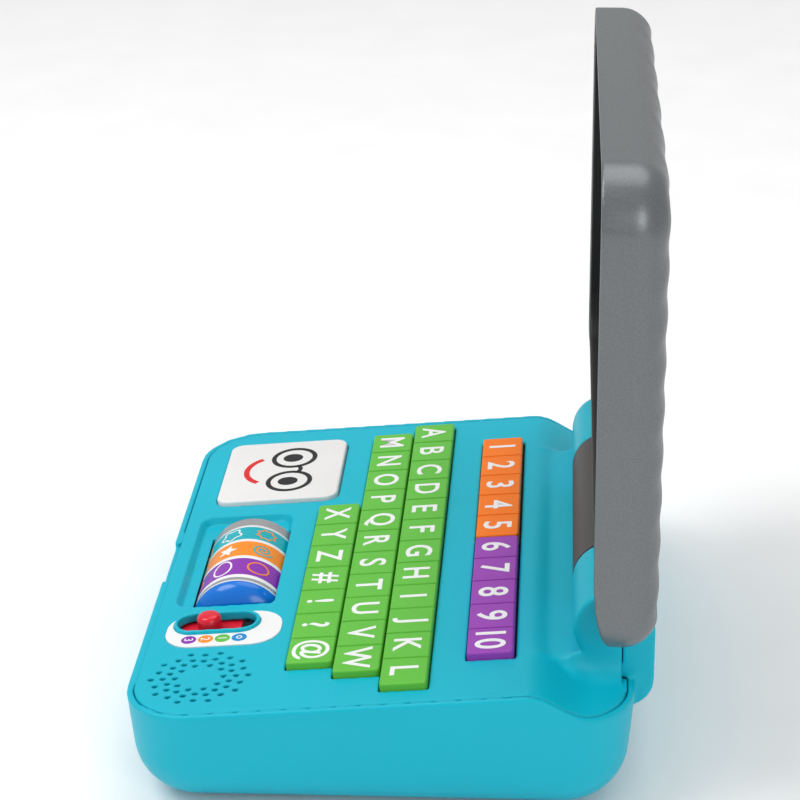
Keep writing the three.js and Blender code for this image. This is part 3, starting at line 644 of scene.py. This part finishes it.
def lower_housing():
    body = common(tub(0), below_rim(0, -HALF - 5, HALF + 5))
    unite(body, bulge(0, KNUCKLE_OUT), knuckle(KNUCKLE_R, -KNUCKLE_OUT, KNUCKLE_OUT))
    keep = below_rim(0, -HALF - 5, HALF + 5)
    unite(keep, box(-KNUCKLE_OUT, KNUCKLE_OUT, AXIS_Y - 14, PARTING_Y + 1, 20, COVER_REAR_Z),
          box(-KNUCKLE_OUT, KNUCKLE_OUT, PARTING_Y, AXIS_Y + 20, 20, 100))
    common(body, keep)
    hollow = unite(common(tub(WALL), below_rim(0, -HALF, HALF)), bulge(WALL, KNUCKLE_OUT - WALL),
                   inner_knuckles(WALL))
    trough_wall = knuckle(KNUCKLE_R + BARREL_CLEAR + WALL, -KNUCKLE_IN - SKIN, KNUCKLE_IN + SKIN)
    cut(hollow, common(trough_wall, box(-60, 60, AXIS_Y - 30, AXIS_Y + 30, 20, COVER_REAR_Z + 30)))
    cut(body, hollow, knuckle(KNUCKLE_R + BARREL_CLEAR, -KNUCKLE_IN, KNUCKLE_IN),
        box(-KNUCKLE_IN, KNUCKLE_IN, AXIS_Y - 25, AXIS_Y + 20, TROUGH_TOP, 100),
        box(-NOTCH_HALF, NOTCH_HALF, -5, WALL + 0.6, DECK_FRONT_Z - 2.4, DECK_FRONT_Z + 5),
        door_recess())
    for i in range(1, 5):
        x, y, _, _ = node_middle(f"foot_{i}")
        cut(body, rod("Z", FOOT_POCKET_R, -5, FLOOR_Z + 0.8, x, y))
    for i in range(1, 5):
        x, y, _, _ = node_middle(f"housing_screw_{i}")
        cut(body, rod("Z", SCREW_WELL_R, -5, FLOOR_Z + 8, x, y, 32))
    moulded(body, 0.8, 3, 0.22)
    return piece(body, "tub_moulding", "base", "teal_plastic", ["lower_housing"])


def stadium(radius, v0, v1):
    return round_rect(SLIDER_X - radius, SLIDER_X + radius, v0, v1, radius - 0.01, 12)


def speaker_holes():
    holes = []
    for radius, first in SPEAKER_RINGS:
        for i in range(SPEAKER_ARMS):
            turn = math.radians(first + 360 / SPEAKER_ARMS * i)
            a = SPEAKER[0] + radius * math.cos(turn)
            holes.append(rod("Z", SPEAKER_HOLE_R, -6, 4, a, SPEAKER[1] + radius * math.sin(turn), 16))
    return joined(holes)


def saddle_fillet(side):
    """The wide concave sweep from the saddle up to the platform's end and the knuckle's end face."""
    rings = []
    for i in range(21):
        y = DECK_REAR_Y + 2 + (PARTING_Y - GAP - DECK_REAR_Y - 2) * i / 20
        z = rim_z(y)
        size = min(SADDLE_SWEEP, max(0.6, PLATFORM_Z - z - 1.5 + 0.8 * max(0, y - 170)))
        arc_points = [(KNUCKLE_OUT + size * (1 - math.cos(t)), z + size * (1 - math.sin(t)))
                      for t in (math.pi / 2 * k / 8 for k in range(9))]
        outline = [(KNUCKLE_OUT - 3, z - 2), (KNUCKLE_OUT + size, z - 2), *reversed(arc_points),
                   (KNUCKLE_OUT - 3, z + size)]
        rings.append([(side * x, y, height) for x, height in outline])
    return loft(rings)


def rise(value, start, width):
    """0 up to the start, 1 past its width, and a straight rise between."""
    return min(1, max(0, (value - start) / width))


def deck_flow(p):
    """1 where the deck cover's surfaces run into each other in wide curves, at the hinge."""
    outside = rise(HALF - 4 - abs(p.x), 0, 3)
    behind = rise(p.y, 150, 6)
    near_barrel = rise(abs(p.x), 62, 12)
    step = 1 - rise(p.y, 168, 6)
    rear_edge = 1 if abs(p.x) > KNUCKLE_OUT + SADDLE_SWEEP else rise(PARTING_Y - 2 - p.y, 0, 3)
    return outside * behind * rear_edge * max(near_barrel, step)


def deck_cover():
    edge = WALL + GAP
    rear = PARTING_Y - GAP
    room = box(-HALF, HALF, -5, rear, 0, 100)
    for side in (-1, 1):
        x0, x1 = across(side, KNUCKLE_OUT + GAP, HALF)
        unite(room, box(x0, x1, 150, BASE_DEPTH, 0, 100))
    skirt = common(tub(edge), below_rim(0, -HALF, HALF))
    body = common(cut(skirt, below_rim(SKIRT, -HALF - 1, HALF + 1)), room)
    centre = [(DECK_REAR_Y - 12, COVER_REAR_Z - 6), *platform_line(0), (rear, PLATFORM_Z),
              (rear, COVER_REAR_Z + GAP), (DECK_REAR_Y + 8, COVER_REAR_Z - 6)]
    unite(body, prism(centre, "X", -KNUCKLE_OUT, KNUCKLE_OUT))
    for side in (-1, 1):
        x0, x1 = across(side, KNUCKLE_IN, KNUCKLE_OUT)
        front_half = box(x0, x1, AXIS_Y - 20, rear, COVER_REAR_Z + GAP, 100)
        unite(body, common(knuckle(KNUCKLE_R, x0, x1), front_half))
    inner = common(tub(edge + SKIN), below_rim(SKIN, -HALF, HALF), box(-HALF, HALF, 0, 170, 0, 100))
    under = [(DECK_REAR_Y - 14, 10), *platform_line(SKIN), (rear + 1, PLATFORM_Z - SKIN), (rear + 1, 10)]
    unite(inner, prism(under, "X", -KNUCKLE_OUT + SKIN, KNUCKLE_OUT - SKIN), inner_knuckles(SKIN))
    for side in (-1, 1):
        x0, x1 = across(side, KNUCKLE_OUT, HALF)
        unite(inner, common(tub(edge + SKIN), below_rim(SKIN, x0, x1)))
    cut(body, inner)
    lip = prism(stadium(SLOT_R + LIP, SLOT_V[0] - LIP, SLOT_V[1] + LIP), "Z", -1, 1.6)
    pad = box(RECESS_X[0] - SKIN, RECESS_X[1] + SKIN, RECESS_V[0] - SKIN, RECESS_V[1] + SKIN,
              -RECESS_DROP - SKIN, -1)
    unite(body, tilted(pad), tilted(lip), saddle_fillet(-1), saddle_fillet(1))
    recess = [[(x, v, w) for x, v in grown(RECESS_X, RECESS_V, -inset, RECESS_R - inset)]
              for inset, w in ((RECESS_SLOPE, -RECESS_DROP), (0, 0), (0, 5))]
    well_x = (DRUM_X[0] - WELL_CLEAR, DRUM_X[1] + WELL_CLEAR)
    openings = [box(x - 0.1, x + len(keys) * KEY_PITCH + 0.1, v - 0.2, v + ROW_PITCH + 0.2, -20, 10)
                for _, x, keys, v, _ in KEY_ROWS]
    openings += [
        prism(grown(FACE_X, FACE_V, OPENING_CLEAR, FACE_R + OPENING_CLEAR), "Z", -10, 5),
        prism(round_rect(*well_x, DRUM_V - WELL_HALF, DRUM_V + WELL_HALF, 3), "Z", -10, 5),
        rod("X", DRUM_R + 0.8, *well_x, DRUM_V, -DRUM_DEPTH, 96),
        loft(recess),
        prism(stadium(SLOT_R, *SLOT_V), "Z", -10, 5),
        cut(prism(grown(LABEL_X, LABEL_V, GAP, LABEL_R + GAP), "Z", -0.6, 0.7),
            prism(stadium(SLOT_R + LIP, SLOT_V[0] - LIP, SLOT_V[1] + LIP), "Z", -2, 3)),
        speaker_holes(),
    ]
    barrel_room = knuckle(KNUCKLE_R + BARREL_CLEAR, -KNUCKLE_IN, KNUCKLE_IN)
    cut(body, *[tilted(tool) for tool in openings], barrel_room)
    moulded(body, 0.55, 2, 0.16, soften=deck_flow)
    return piece(body, "deck_moulding", "base", "teal_plastic", ["deck_cover"])


# ---- keys -----------------------------------------------------------------------------
def cap(x0, x1, v0, v1, radius, foot, top, soft=0.9):
    """A drafted block on the deck with a rounded top edge."""
    def ring(d, w):
        outline = round_rect(x0 + d, x1 - d, v0 + d, v1 - d, max(radius - d, 0.3), 8)
        return [(x, v, w) for x, v in outline]

    rings = [ring(0, foot), ring(0.15, top - soft)]
    for i in range(1, 6):
        turn = math.pi / 2 * i / 5
        rings.append(ring(0.15 + soft * (1 - math.cos(turn)), top - soft + soft * math.sin(turn)))
    return loft(rings)


def glyph(text, size, x, v, w, thickness=0.12, bold=0.0):
    """Printed characters as thin raised solids, centred at (x, v), tops towards the hinge."""
    curve = bpy.data.curves.new("glyph", "FONT")
    curve.body = text
    curve.size = size
    curve.extrude = thickness
    curve.offset = bold
    curve.align_x = "CENTER"
    curve.align_y = "CENTER"
    curve.resolution_u = 6
    obj = bpy.data.objects.new("glyph", curve)
    bpy.context.scene.collection.objects.link(obj)
    graph = bpy.context.evaluated_depsgraph_get()
    mesh = bpy.data.meshes.new_from_object(obj.evaluated_get(graph))
    bpy.data.objects.remove(obj)
    xs = [p.co.x for p in mesh.vertices]
    ys = [p.co.y for p in mesh.vertices]
    centre = Matrix.Translation((x - (max(xs) + min(xs)) / 2, v - (max(ys) + min(ys)) / 2, w))
    mesh.transform(centre)
    result = bpy.data.objects.new("glyph", mesh)
    bpy.context.scene.collection.objects.link(result)
    return result


def key_strip(node, first, characters, v, slot):
    width = len(characters) * KEY_PITCH
    edge = KEY_GAP / 2
    body = cap(first + edge, first + width - edge, v + edge, v + ROW_PITCH - edge, 1.8, -KEY_FOOT, KEY_TOP)
    grooves = []
    for i in range(1, len(characters)):
        x = first + i * KEY_PITCH
        rear = v + ROW_PITCH
        vee = [(x - 0.75, KEY_TOP + 0.3), (x - 0.16, KEY_TOP - 0.8), (x - 0.16, KEY_TOP - 1.3),
               (x + 0.16, KEY_TOP - 1.3), (x + 0.16, KEY_TOP - 0.8), (x + 0.75, KEY_TOP + 0.3)]
        nick = [(x - 0.9, rear + 0.5), (x, rear - 1.7), (x + 0.9, rear + 0.5)]
        grooves.append(prism(vee, "Y", v - 1, rear + 1))
        grooves.append(prism(nick, "Z", KEY_TOP - 1.6, KEY_TOP + 1))
    cut(body, *grooves)
    tilted(beveled(body, 0.28))
    piece(body, node + "_caps", node, slot, [node])
    size = DIGIT_SIZE if v == NUMBER_ROW_V else LETTER_SIZE
    marks = []
    for i, text in enumerate(characters):
        x = first + (i + 0.5) * KEY_PITCH
        marks.append(glyph(text, size, x, v + ROW_PITCH / 2, KEY_TOP, 0.1, 0.22))
    piece(tilted(joined(marks)), node + "_print", node, "label_card", material=INK_WHITE)


# ---- picture button -------------------------------------------------------------------
def ribbon(points, width, w, thickness=0.12, closed=False):
    """A flat printed line of an even width through 2-D points, lying at height w."""
    count = len(points)
    left, right = [], []
    for i, (a, b) in enumerate(points):
        before = points[(i - 1) % count] if closed or i else points[i]
        after = points[(i + 1) % count] if closed or i < count - 1 else points[i]
        run = Vector((after[0] - before[0], after[1] - before[1])).normalized()
        left.append((a - run.y * width / 2, b + run.x * width / 2))
        right.append((a + run.y * width / 2, b - run.x * width / 2))
    verts = []
    for (la, lb), (ra, rb) in zip(left, right):
        verts += [(la, lb, w), (ra, rb, w), (ra, rb, w + thickness), (la, lb, w + thickness)]
    faces = []
    for i in range(count if closed else count - 1):
        a, b = 4 * i, 4 * ((i + 1) % count)
        for k in range(4):
            faces.append((a + k, a + (k + 1) % 4, b + (k + 1) % 4, b + k))
    if not closed:
        faces += [(0, 3, 2, 1), (4 * count - 4, 4 * count - 3, 4 * count - 2, 4 * count - 1)]
    return new_object("ribbon", verts, faces)


def arc(a, b, ra, rb, start, stop, steps=40):
    turns = [math.radians(start + (stop - start) * i / steps) for i in range(steps + 1)]
    return [(a + ra * math.cos(t), b + rb * math.sin(t)) for t in turns]


def disc(a, b, ra, rb, w, thickness=0.12):
    points = arc(a, b, ra, rb, 0, 360, 48)[:-1]
    return prism(points, "Z", w, w + thickness)


def face_button():
    body = cap(*FACE_X, *FACE_V, FACE_R, -KEY_FOOT, 1.8)
    tilted(beveled(body, 0.1))
    piece(body, "picture_button", "face_button", "white_plastic", ["face_button"])
    top = 1.78
    mid_x = (FACE_X[0] + FACE_X[1]) / 2
    mid_v = (FACE_V[0] + FACE_V[1]) / 2 + 4
    eye = 12.6
    bridge = ribbon(arc(mid_x, mid_v + 1.5, 3.4, 2.6, 15, 165, 16), 2, top)
    lines = [bridge]
    for side in (-1, 1):
        rim = arc(mid_x + side * eye, mid_v, 9.8, 9.6, 0, 360, 60)[:-1]
        lines.append(ribbon(rim, 2.2, top, closed=True))
        lines.append(disc(mid_x + side * eye, mid_v - 0.6, 4.2, 4.6, top))
    piece(tilted(joined(lines)), "picture_button_print", "face_button", "label_card", material=INK_BLACK)
    smile = ribbon(arc(mid_x, mid_v - 9, 14, 12, 208, 332, 30), 2.6, top)
    piece(tilted(smile), "picture_button_smile", "face_button", "label_card", material=INK_RED)


# ---- roller ---------------------------------------------------------------------------
def turned(profile, sides=96):
    """A solid turned about the roller's axis from (radius, x) points."""
    rings = []
    for radius, x in profile:
        radius = max(radius, 0.01)
        rings.append([(x, DRUM_V + radius * math.cos(2 * math.pi * i / sides),
                       -DRUM_DEPTH + radius * math.sin(2 * math.pi * i / sides)) for i in range(sides)])
    return loft(rings)


def on_drum(obj):
    """Wraps flat print, drawn as (x, distance round the drum), onto the sleeve."""
    for vertex in obj.data.vertices:
        turn = math.pi / 2 - vertex.co.y / DRUM_R
        radius = DRUM_R + vertex.co.z
        vertex.co = (vertex.co.x, DRUM_V + radius * math.cos(turn), -DRUM_DEPTH + radius * math.sin(turn))
    return obj


def band(x0, x1):
    radius = DRUM_R + 0.05
    return turned([(DRUM_R - 0.4, x0), (radius, x0), (radius, x1), (DRUM_R - 0.4, x1)])


def spiral(a, b, size, turns=2.2):
    steps = 60
    points = []
    for i in range(steps + 1):
        t = i / steps
        turn = 2 * math.pi * turns * t
        points.append((a + size * t * math.cos(turn), b + size * t * math.sin(turn)))
    return points


def star(a, b, size, tips=5, inner=0.45):
    points = []
    for i in range(2 * tips):
        radius = size if i % 2 == 0 else size * inner
        turn = math.pi / tips * i + 0.3
        points.append((a + radius * math.cos(turn), b + radius * math.sin(turn)))
    return points


def flower(a, b, size, petals=8):
    points = []
    for i in range(80):
        turn = 2 * math.pi * i / 80
        radius = size * (1 + 0.16 * math.cos(petals * turn))
        points.append((a + radius * math.cos(turn), b + radius * math.sin(turn)))
    return points


def roller():
    core_r = DRUM_R - 1.2
    dome_start = SLEEVE_END + GAP
    profile = [(0, DRUM_X[0] - 4), (AXLE_R, DRUM_X[0] - 4), (AXLE_R, DRUM_X[0]), (core_r - 0.4, DRUM_X[0]),
               (core_r, DRUM_X[0] + 0.4), (core_r, dome_start - 0.1)]
    for i in range(25):
        turn = math.pi / 2 * i / 24
        profile.append((AXLE_R + (DRUM_R - AXLE_R) * math.cos(turn),
                        dome_start + (DRUM_X[1] - dome_start) * math.sin(turn)))
    profile += [(AXLE_R, DRUM_X[1] + 4), (0, DRUM_X[1] + 4)]
    core = tilted(turned(profile))
    beveled(core, 0.15, angle=50)
    piece(core, "roller_drum", "roller", "blue_plastic", ["roller_core"])
    sleeve = turned([(core_r + GAP, DRUM_X[0]), (DRUM_R - 0.8, DRUM_X[0]), (DRUM_R - 0.3, DRUM_X[0] + 0.3),
                     (DRUM_R, DRUM_X[0] + 0.9), (DRUM_R, SLEEVE_END - 0.2), (DRUM_R - 0.2, SLEEVE_END),
                     (core_r + GAP, SLEEVE_END)])
    tilted(beveled(sleeve, 0.1, angle=50))
    piece(sleeve, "roller_cover", "roller", "printed_sleeve", ["roller_sleeve"])

    def at(share):
        return DRUM_X[0] + (SLEEVE_END - DRUM_X[0]) * share

    bands = [(0.01, 0.12, INK_SILVER), (0.15, 0.345, INK_TEAL), (0.385, 0.61, INK_ORANGE),
             (0.655, 0.905, INK_PURPLE), (0.95, 0.99, INK_SILVER)]
    for i, (low, high, ink) in enumerate(bands, 1):
        ring = tilted(beveled(band(at(low), at(high)), 0.02, angle=50))
        piece(ring, f"roller_band_{i}", "roller", "printed_sleeve", material=ink)
    teal, orange, purple = [(at(low) + at(high)) / 2 for low, high, _ in bands[1:4]]
    girth = 2 * math.pi * DRUM_R
    lift = 0.03  # the print's underside above the sleeve
    white, warm, cool = [], [], []
    for k in range(4):
        here = girth / 4 * k - 7
        between = here + girth / 8
        white.append(ribbon(flower(teal, here, 4.2, 5), 0.7, lift, closed=True))
        warm.append(ribbon(star(teal, between, 4.6, 8, 0.7), 0.8, lift, closed=True))
        white.append(prism(star(orange, here, 4.6), "Z", lift, lift + 0.12))
        cool.append(ribbon(spiral(orange, between, 4.8), 0.8, lift))
        warm.append(ribbon(arc(purple, between, 4.6, 4.6, 0, 360)[:-1], 0.8, lift, closed=True))
        white.append(ribbon(arc(purple, here, 6, 4, 0, 360, 48)[:-1], 0.8, lift, closed=True))
    for name, parts, ink in (
        ("white", white, INK_WHITE),
        ("orange", warm, INK_ORANGE),
        ("teal", cool, INK_TEAL),
    ):
        print_on = tilted(on_drum(joined(parts)))
        piece(print_on, f"roller_print_{name}", "roller", "printed_sleeve", material=ink)


# ---- slider ---------------------------------------------------------------------------
def slider():
    profile = [(5.2, -4), (5.2, 2.2), (5.05, 3.2), (4.6, 4.0), (3.8, 4.6), (2.8, 4.9), (1.4, 5.0),
               (0.05, 5.0)]
    rings = [[(x, v, w) for x, v in circle(r * 0.97, SLIDER_X, SLIDER_V, 48)] for r, w in profile]
    knob = loft(rings)
    unite(knob, box(SLIDER_X - 8.5, SLIDER_X + 8.5, SLIDER_V - 12.6, SLIDER_V + 12.6, -4.6, -3))
    tilted(beveled(knob, 0.3, angle=50))
    piece(knob, "slider_knob", "mode_slider", "red_plastic", ["mode_slider"])
    label = prism(round_rect(*LABEL_X, *LABEL_V, LABEL_R, 12), "Z", -0.3, 0.25)
    cut(label, prism(stadium(SLOT_R + LIP + GAP, SLOT_V[0] - LIP - GAP, SLOT_V[1] + LIP + GAP), "Z", -1, 1))
    tilted(beveled(label, 0.08, angle=50))
    piece(label, "slider_card", "base", "label_card", ["slider_label"])
    marks = [("3", INK_PURPLE, -1), ("2", INK_ORANGE, 0), ("1", INK_GREEN, 1), ("o", INK_BLUE, 2)]
    digits = []
    for i, (text, ink, steps) in enumerate(marks, 1):
        v = SLIDER_V + SLIDER_STEP * steps
        dot = tilted(disc(DOT_X, v, 3.1, 3.1, 0.22))
        piece(dot, f"slider_dot_{i}", "base", "label_card", material=ink)
        digits.append(glyph(text, 5.2, DOT_X, v, 0.36, 0.05, 0.04))
    piece(tilted(joined(digits)), "slider_digits", "base", "label_card", material=INK_WHITE)


# ---- lid ------------------------------------------------------------------------------
def lid_form(inset, front):
    """The lid's outer form from a front face to its rounded back."""
    def ring(y, d):
        corner = LID_CORNER - min(inset + d, LID_CORNER - 4)
        outline = round_rect(-LID_WIDTH / 2 + inset + d, LID_WIDTH / 2 - inset - d,
                             LID_BOTTOM + inset + d, LID_TOP - inset - d, corner, 16)
        return [(x, y, z) for x, z in outline]

    radius = LID_FILLET - inset
    back = AXIS_Y + LID_BACK - inset
    rings = [ring(AXIS_Y + front, 0)]
    for i in range(17):
        turn = math.pi / 2 * i / 16
        rings.append(ring(back - radius * (1 - math.sin(turn)), radius * (1 - math.cos(turn))))
    return loft(rings)


def nose_room(offset):
    """The space in front of the lid's curved lower nose."""
    points = []
    for i in range(25):
        turn = math.pi / 2 * i / 24
        points.append((AXIS_Y + LID_FRONT + offset + LID_NOSE_BACK * (1 - math.cos(turn)),
                       LID_BOTTOM + LID_NOSE_RISE + offset - LID_NOSE_RISE * math.sin(turn)))
    points += [(AXIS_Y + LID_FRONT - 10, LID_BOTTOM - 10 + offset),
               (AXIS_Y + LID_FRONT - 10, LID_BOTTOM + LID_NOSE_RISE + offset)]
    return prism(points, "X", -HALF, HALF)


def arch(extra):
    half = KNUCKLE_OUT + 1 + extra
    return knuckle(ARCH_R + extra, -half, half)


def waved(p):
    """The lid's back carries low waves across its width."""
    depth = (p.y - (AXIS_Y + LID_BACK - LID_FILLET * 0.8)) / (LID_FILLET * 0.8)
    if depth <= 0:
        return p
    phase = 2 * math.pi * p.z / WAVE_Z + 1.6 * math.sin(2 * math.pi * p.x / WAVE_X)
    return Vector((p.x, p.y + WAVE_DEPTH * min(1, depth) * math.sin(phase), p.z))


def lid():
    outer = cut(lid_form(0, LID_FRONT), nose_room(0), arch(0))
    inner = cut(lid_form(WALL, LID_FRONT - 1), nose_room(WALL), arch(WALL))
    front = common(lid_form(WALL, LID_FRONT - 3), box(-HALF, HALF, AXIS_Y - 20, AXIS_Y + BEZEL_BACK, 0, 300))
    cut(front, arch(WALL))
    neck = box(-NECK_HALF - GAP, NECK_HALF + GAP, AXIS_Y + NECK_Y0 - GAP, AXIS_Y + NECK_Y1 + GAP,
               AXIS_Z, AXIS_Z + NECK_TOP)
    cut(outer, inner, front, neck)
    for x, z in LID_SCREWS:
        cut(outer, rod("Y", 3.4, AXIS_Y + LID_BACK - 3, AXIS_Y + LID_BACK + 1, x, z, 32))
    moulded(outer, 0.8, 3, 0.3, shift=waved)
    piece(outer, "lid_shell", "lid", "lid_grey", ["lid_back_shell"])

    edge = WALL + GAP
    bezel = common(lid_form(edge, BEZEL_FRONT), box(-HALF, HALF, 0, AXIS_Y + BEZEL_BACK, 0, 300))
    cut(bezel, nose_room(GAP), arch(edge),
        box(-NECK_HALF - GAP, NECK_HALF + GAP, AXIS_Y + NECK_Y0 - GAP, AXIS_Y + NECK_Y1 + GAP, 0,
            AXIS_Z + NECK_TOP))
    half = LID_WIDTH / 2 - edge - 2
    tray = round_rect(-half, half, TRAY_BOTTOM, LID_TOP - edge - 2, LID_CORNER - edge - 2, 16)
    cut(bezel, prism(tray, "Y", AXIS_Y + LID_FRONT - 2, AXIS_Y + LID_FRONT + TRAY_DEPTH),
        prism(round_rect(*SCREEN_X, *SCREEN_Z, 8), "Y", AXIS_Y - 20, AXIS_Y + 20))
    moulded(bezel, 0.7, 2, 0.3)
    piece(bezel, "lid_front_frame", "lid", "dark_plastic", ["lid_bezel"])

    neck = box(-NECK_HALF, NECK_HALF, AXIS_Y + NECK_Y0, AXIS_Y + NECK_Y1, AXIS_Z, AXIS_Z + NECK_TOP - GAP)
    barrel = unite(knuckle(KNUCKLE_R, -KNUCKLE_IN + BARREL_CLEAR, KNUCKLE_IN - BARREL_CLEAR), neck)
    for side in (-1, 1):
        x0, x1 = across(side, KNUCKLE_IN - 12, KNUCKLE_IN)
        cut(barrel, rod("X", 2.8, x0, x1, AXIS_Y, AXIS_Z, 32))
    beveled(barrel, 0.5, angle=50)
    piece(barrel, "hinge_barrel_moulding", "lid", "barrel_grey", ["hinge_barrel"])


def screen_art():
    """A plain printed picture: hills, a sun and a few basic shapes."""
    y = AXIS_Y + BEZEL_BACK + GAP
    x0, x1, z0, z1 = SCREEN_X[0] - 4, SCREEN_X[1] + 4, SCREEN_Z[0] - 4, SCREEN_Z[1] + 4
    card = prism(round_rect(x0, x1, z0, z1, 4), "Y", y, y + 1)
    piece(beveled(card, 0.1), "screen_picture", "lid", "screen_print", ["screen_card"])
    hills = [(x0 + 1, z0 + 1), (x1 - 1, z0 + 1)]
    for i in range(41):
        x = x1 - 1 - (x1 - x0 - 2) * i / 40
        hills.append((x, z0 + 34 + 9 * math.sin(2 * math.pi * (x - x0) / 110)))
    shapes = [
        ("hills", hills, INK_GREEN),
        ("sun", [(58 + a, 214 + b) for a, b in circle(12, 0, 0, 48)], INK_ORANGE),
        ("circle", circle(13, -52, 196, 48), INK_RED),
        ("square", round_rect(-22, 4, 183, 209, 2), INK_PURPLE),
        ("star", star(30, 196, 12), INK_WHITE),
    ]
    for name, points, ink in shapes:
        print_layer = prism(points, "Y", y - 0.12, y + 0.05)
        piece(print_layer, f"screen_{name}", "lid", "screen_print", material=ink)


# ---- feet, screws and the nodes that keep their CAD shape -----------------------------
def feet():
    for i in range(1, 5):
        node = f"foot_{i}"
        x, y, _, top = node_middle(node)
        rings = [(7.1, 0), (7.6, 0.15), (8, 0.7), (8, top)]
        pad = loft([[(a, b, z) for a, b in circle(r, x, y, 48)] for r, z in rings])
        piece(beveled(pad, 0.1), f"foot_pad_{i}", "base", "rubber", [node])


def screw_head(centre, axis, radius, depth):
    """A cross-head screw's domed head, its face at centre, pointing out along axis."""
    rings = [(radius, depth), (radius, 0.5), (radius * 0.8, 0.15), (radius * 0.4, 0.02), (0.05, 0)]
    head = loft([[(a, b, z) for a, b in circle(r, 0, 0, 32)] for r, z in rings])
    for turn in (0, math.pi / 2):
        slot = box(-radius * 0.6, radius * 0.6, -0.35, 0.35, -1, depth * 0.6)
        slot.data.transform(Matrix.Rotation(turn, 4, "Z"))
        cut(head, slot)
    head.data.transform(Matrix.Translation(centre) @ axis)
    return head


def screws():
    nodes = [f"housing_screw_{i}" for i in range(1, 5)] + ["battery_door_screw"]
    for node in nodes:
        x, y, bottom, top = node_middle(node)
        head = screw_head((x, y, bottom), Matrix.Identity(4), 3.0, 1.8)
        shank = rod("Z", 1.5, bottom + 1.2, top, x, y, 24)
        piece(unite(head, shank), node + "_steel", "base", "steel", [node])
    turn = Matrix.Rotation(math.pi / 2, 4, "X")
    for i in range(1, 5):
        low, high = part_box(f"lid_screw_{i}")
        middle = (low + high) / 2
        centre = (middle.x / MM, (high.y - FRONT_Y) / MM, middle.z / MM)
        head = screw_head(centre, turn, 2.8, 1.8)
        shank = rod("Y", 1.5, (low.y - FRONT_Y) / MM, centre[1] - 1.2, centre[0], centre[2], 24)
        piece(unite(head, shank), f"lid_screw_{i}_steel", "lid", "steel", [f"lid_screw_{i}"])


def kept_nodes():
    """Every other CAD node keeps its shape and takes its slot's material."""
    slots = {s["node"]: s["material_slot"] for s in frame["record"]["subparts"]}
    for name, obj in frame["nodes"].items():
        material = MATERIALS[slots[name]]
        obj.data.materials.clear()
        obj.data.materials.append(material)


add_camera()
add_studio()
kept_nodes()
lower_housing()
deck_cover()
for row in KEY_ROWS:
    key_strip(*row)
face_button()
roller()
slider()
lid()
screen_art()
feet()
screws()
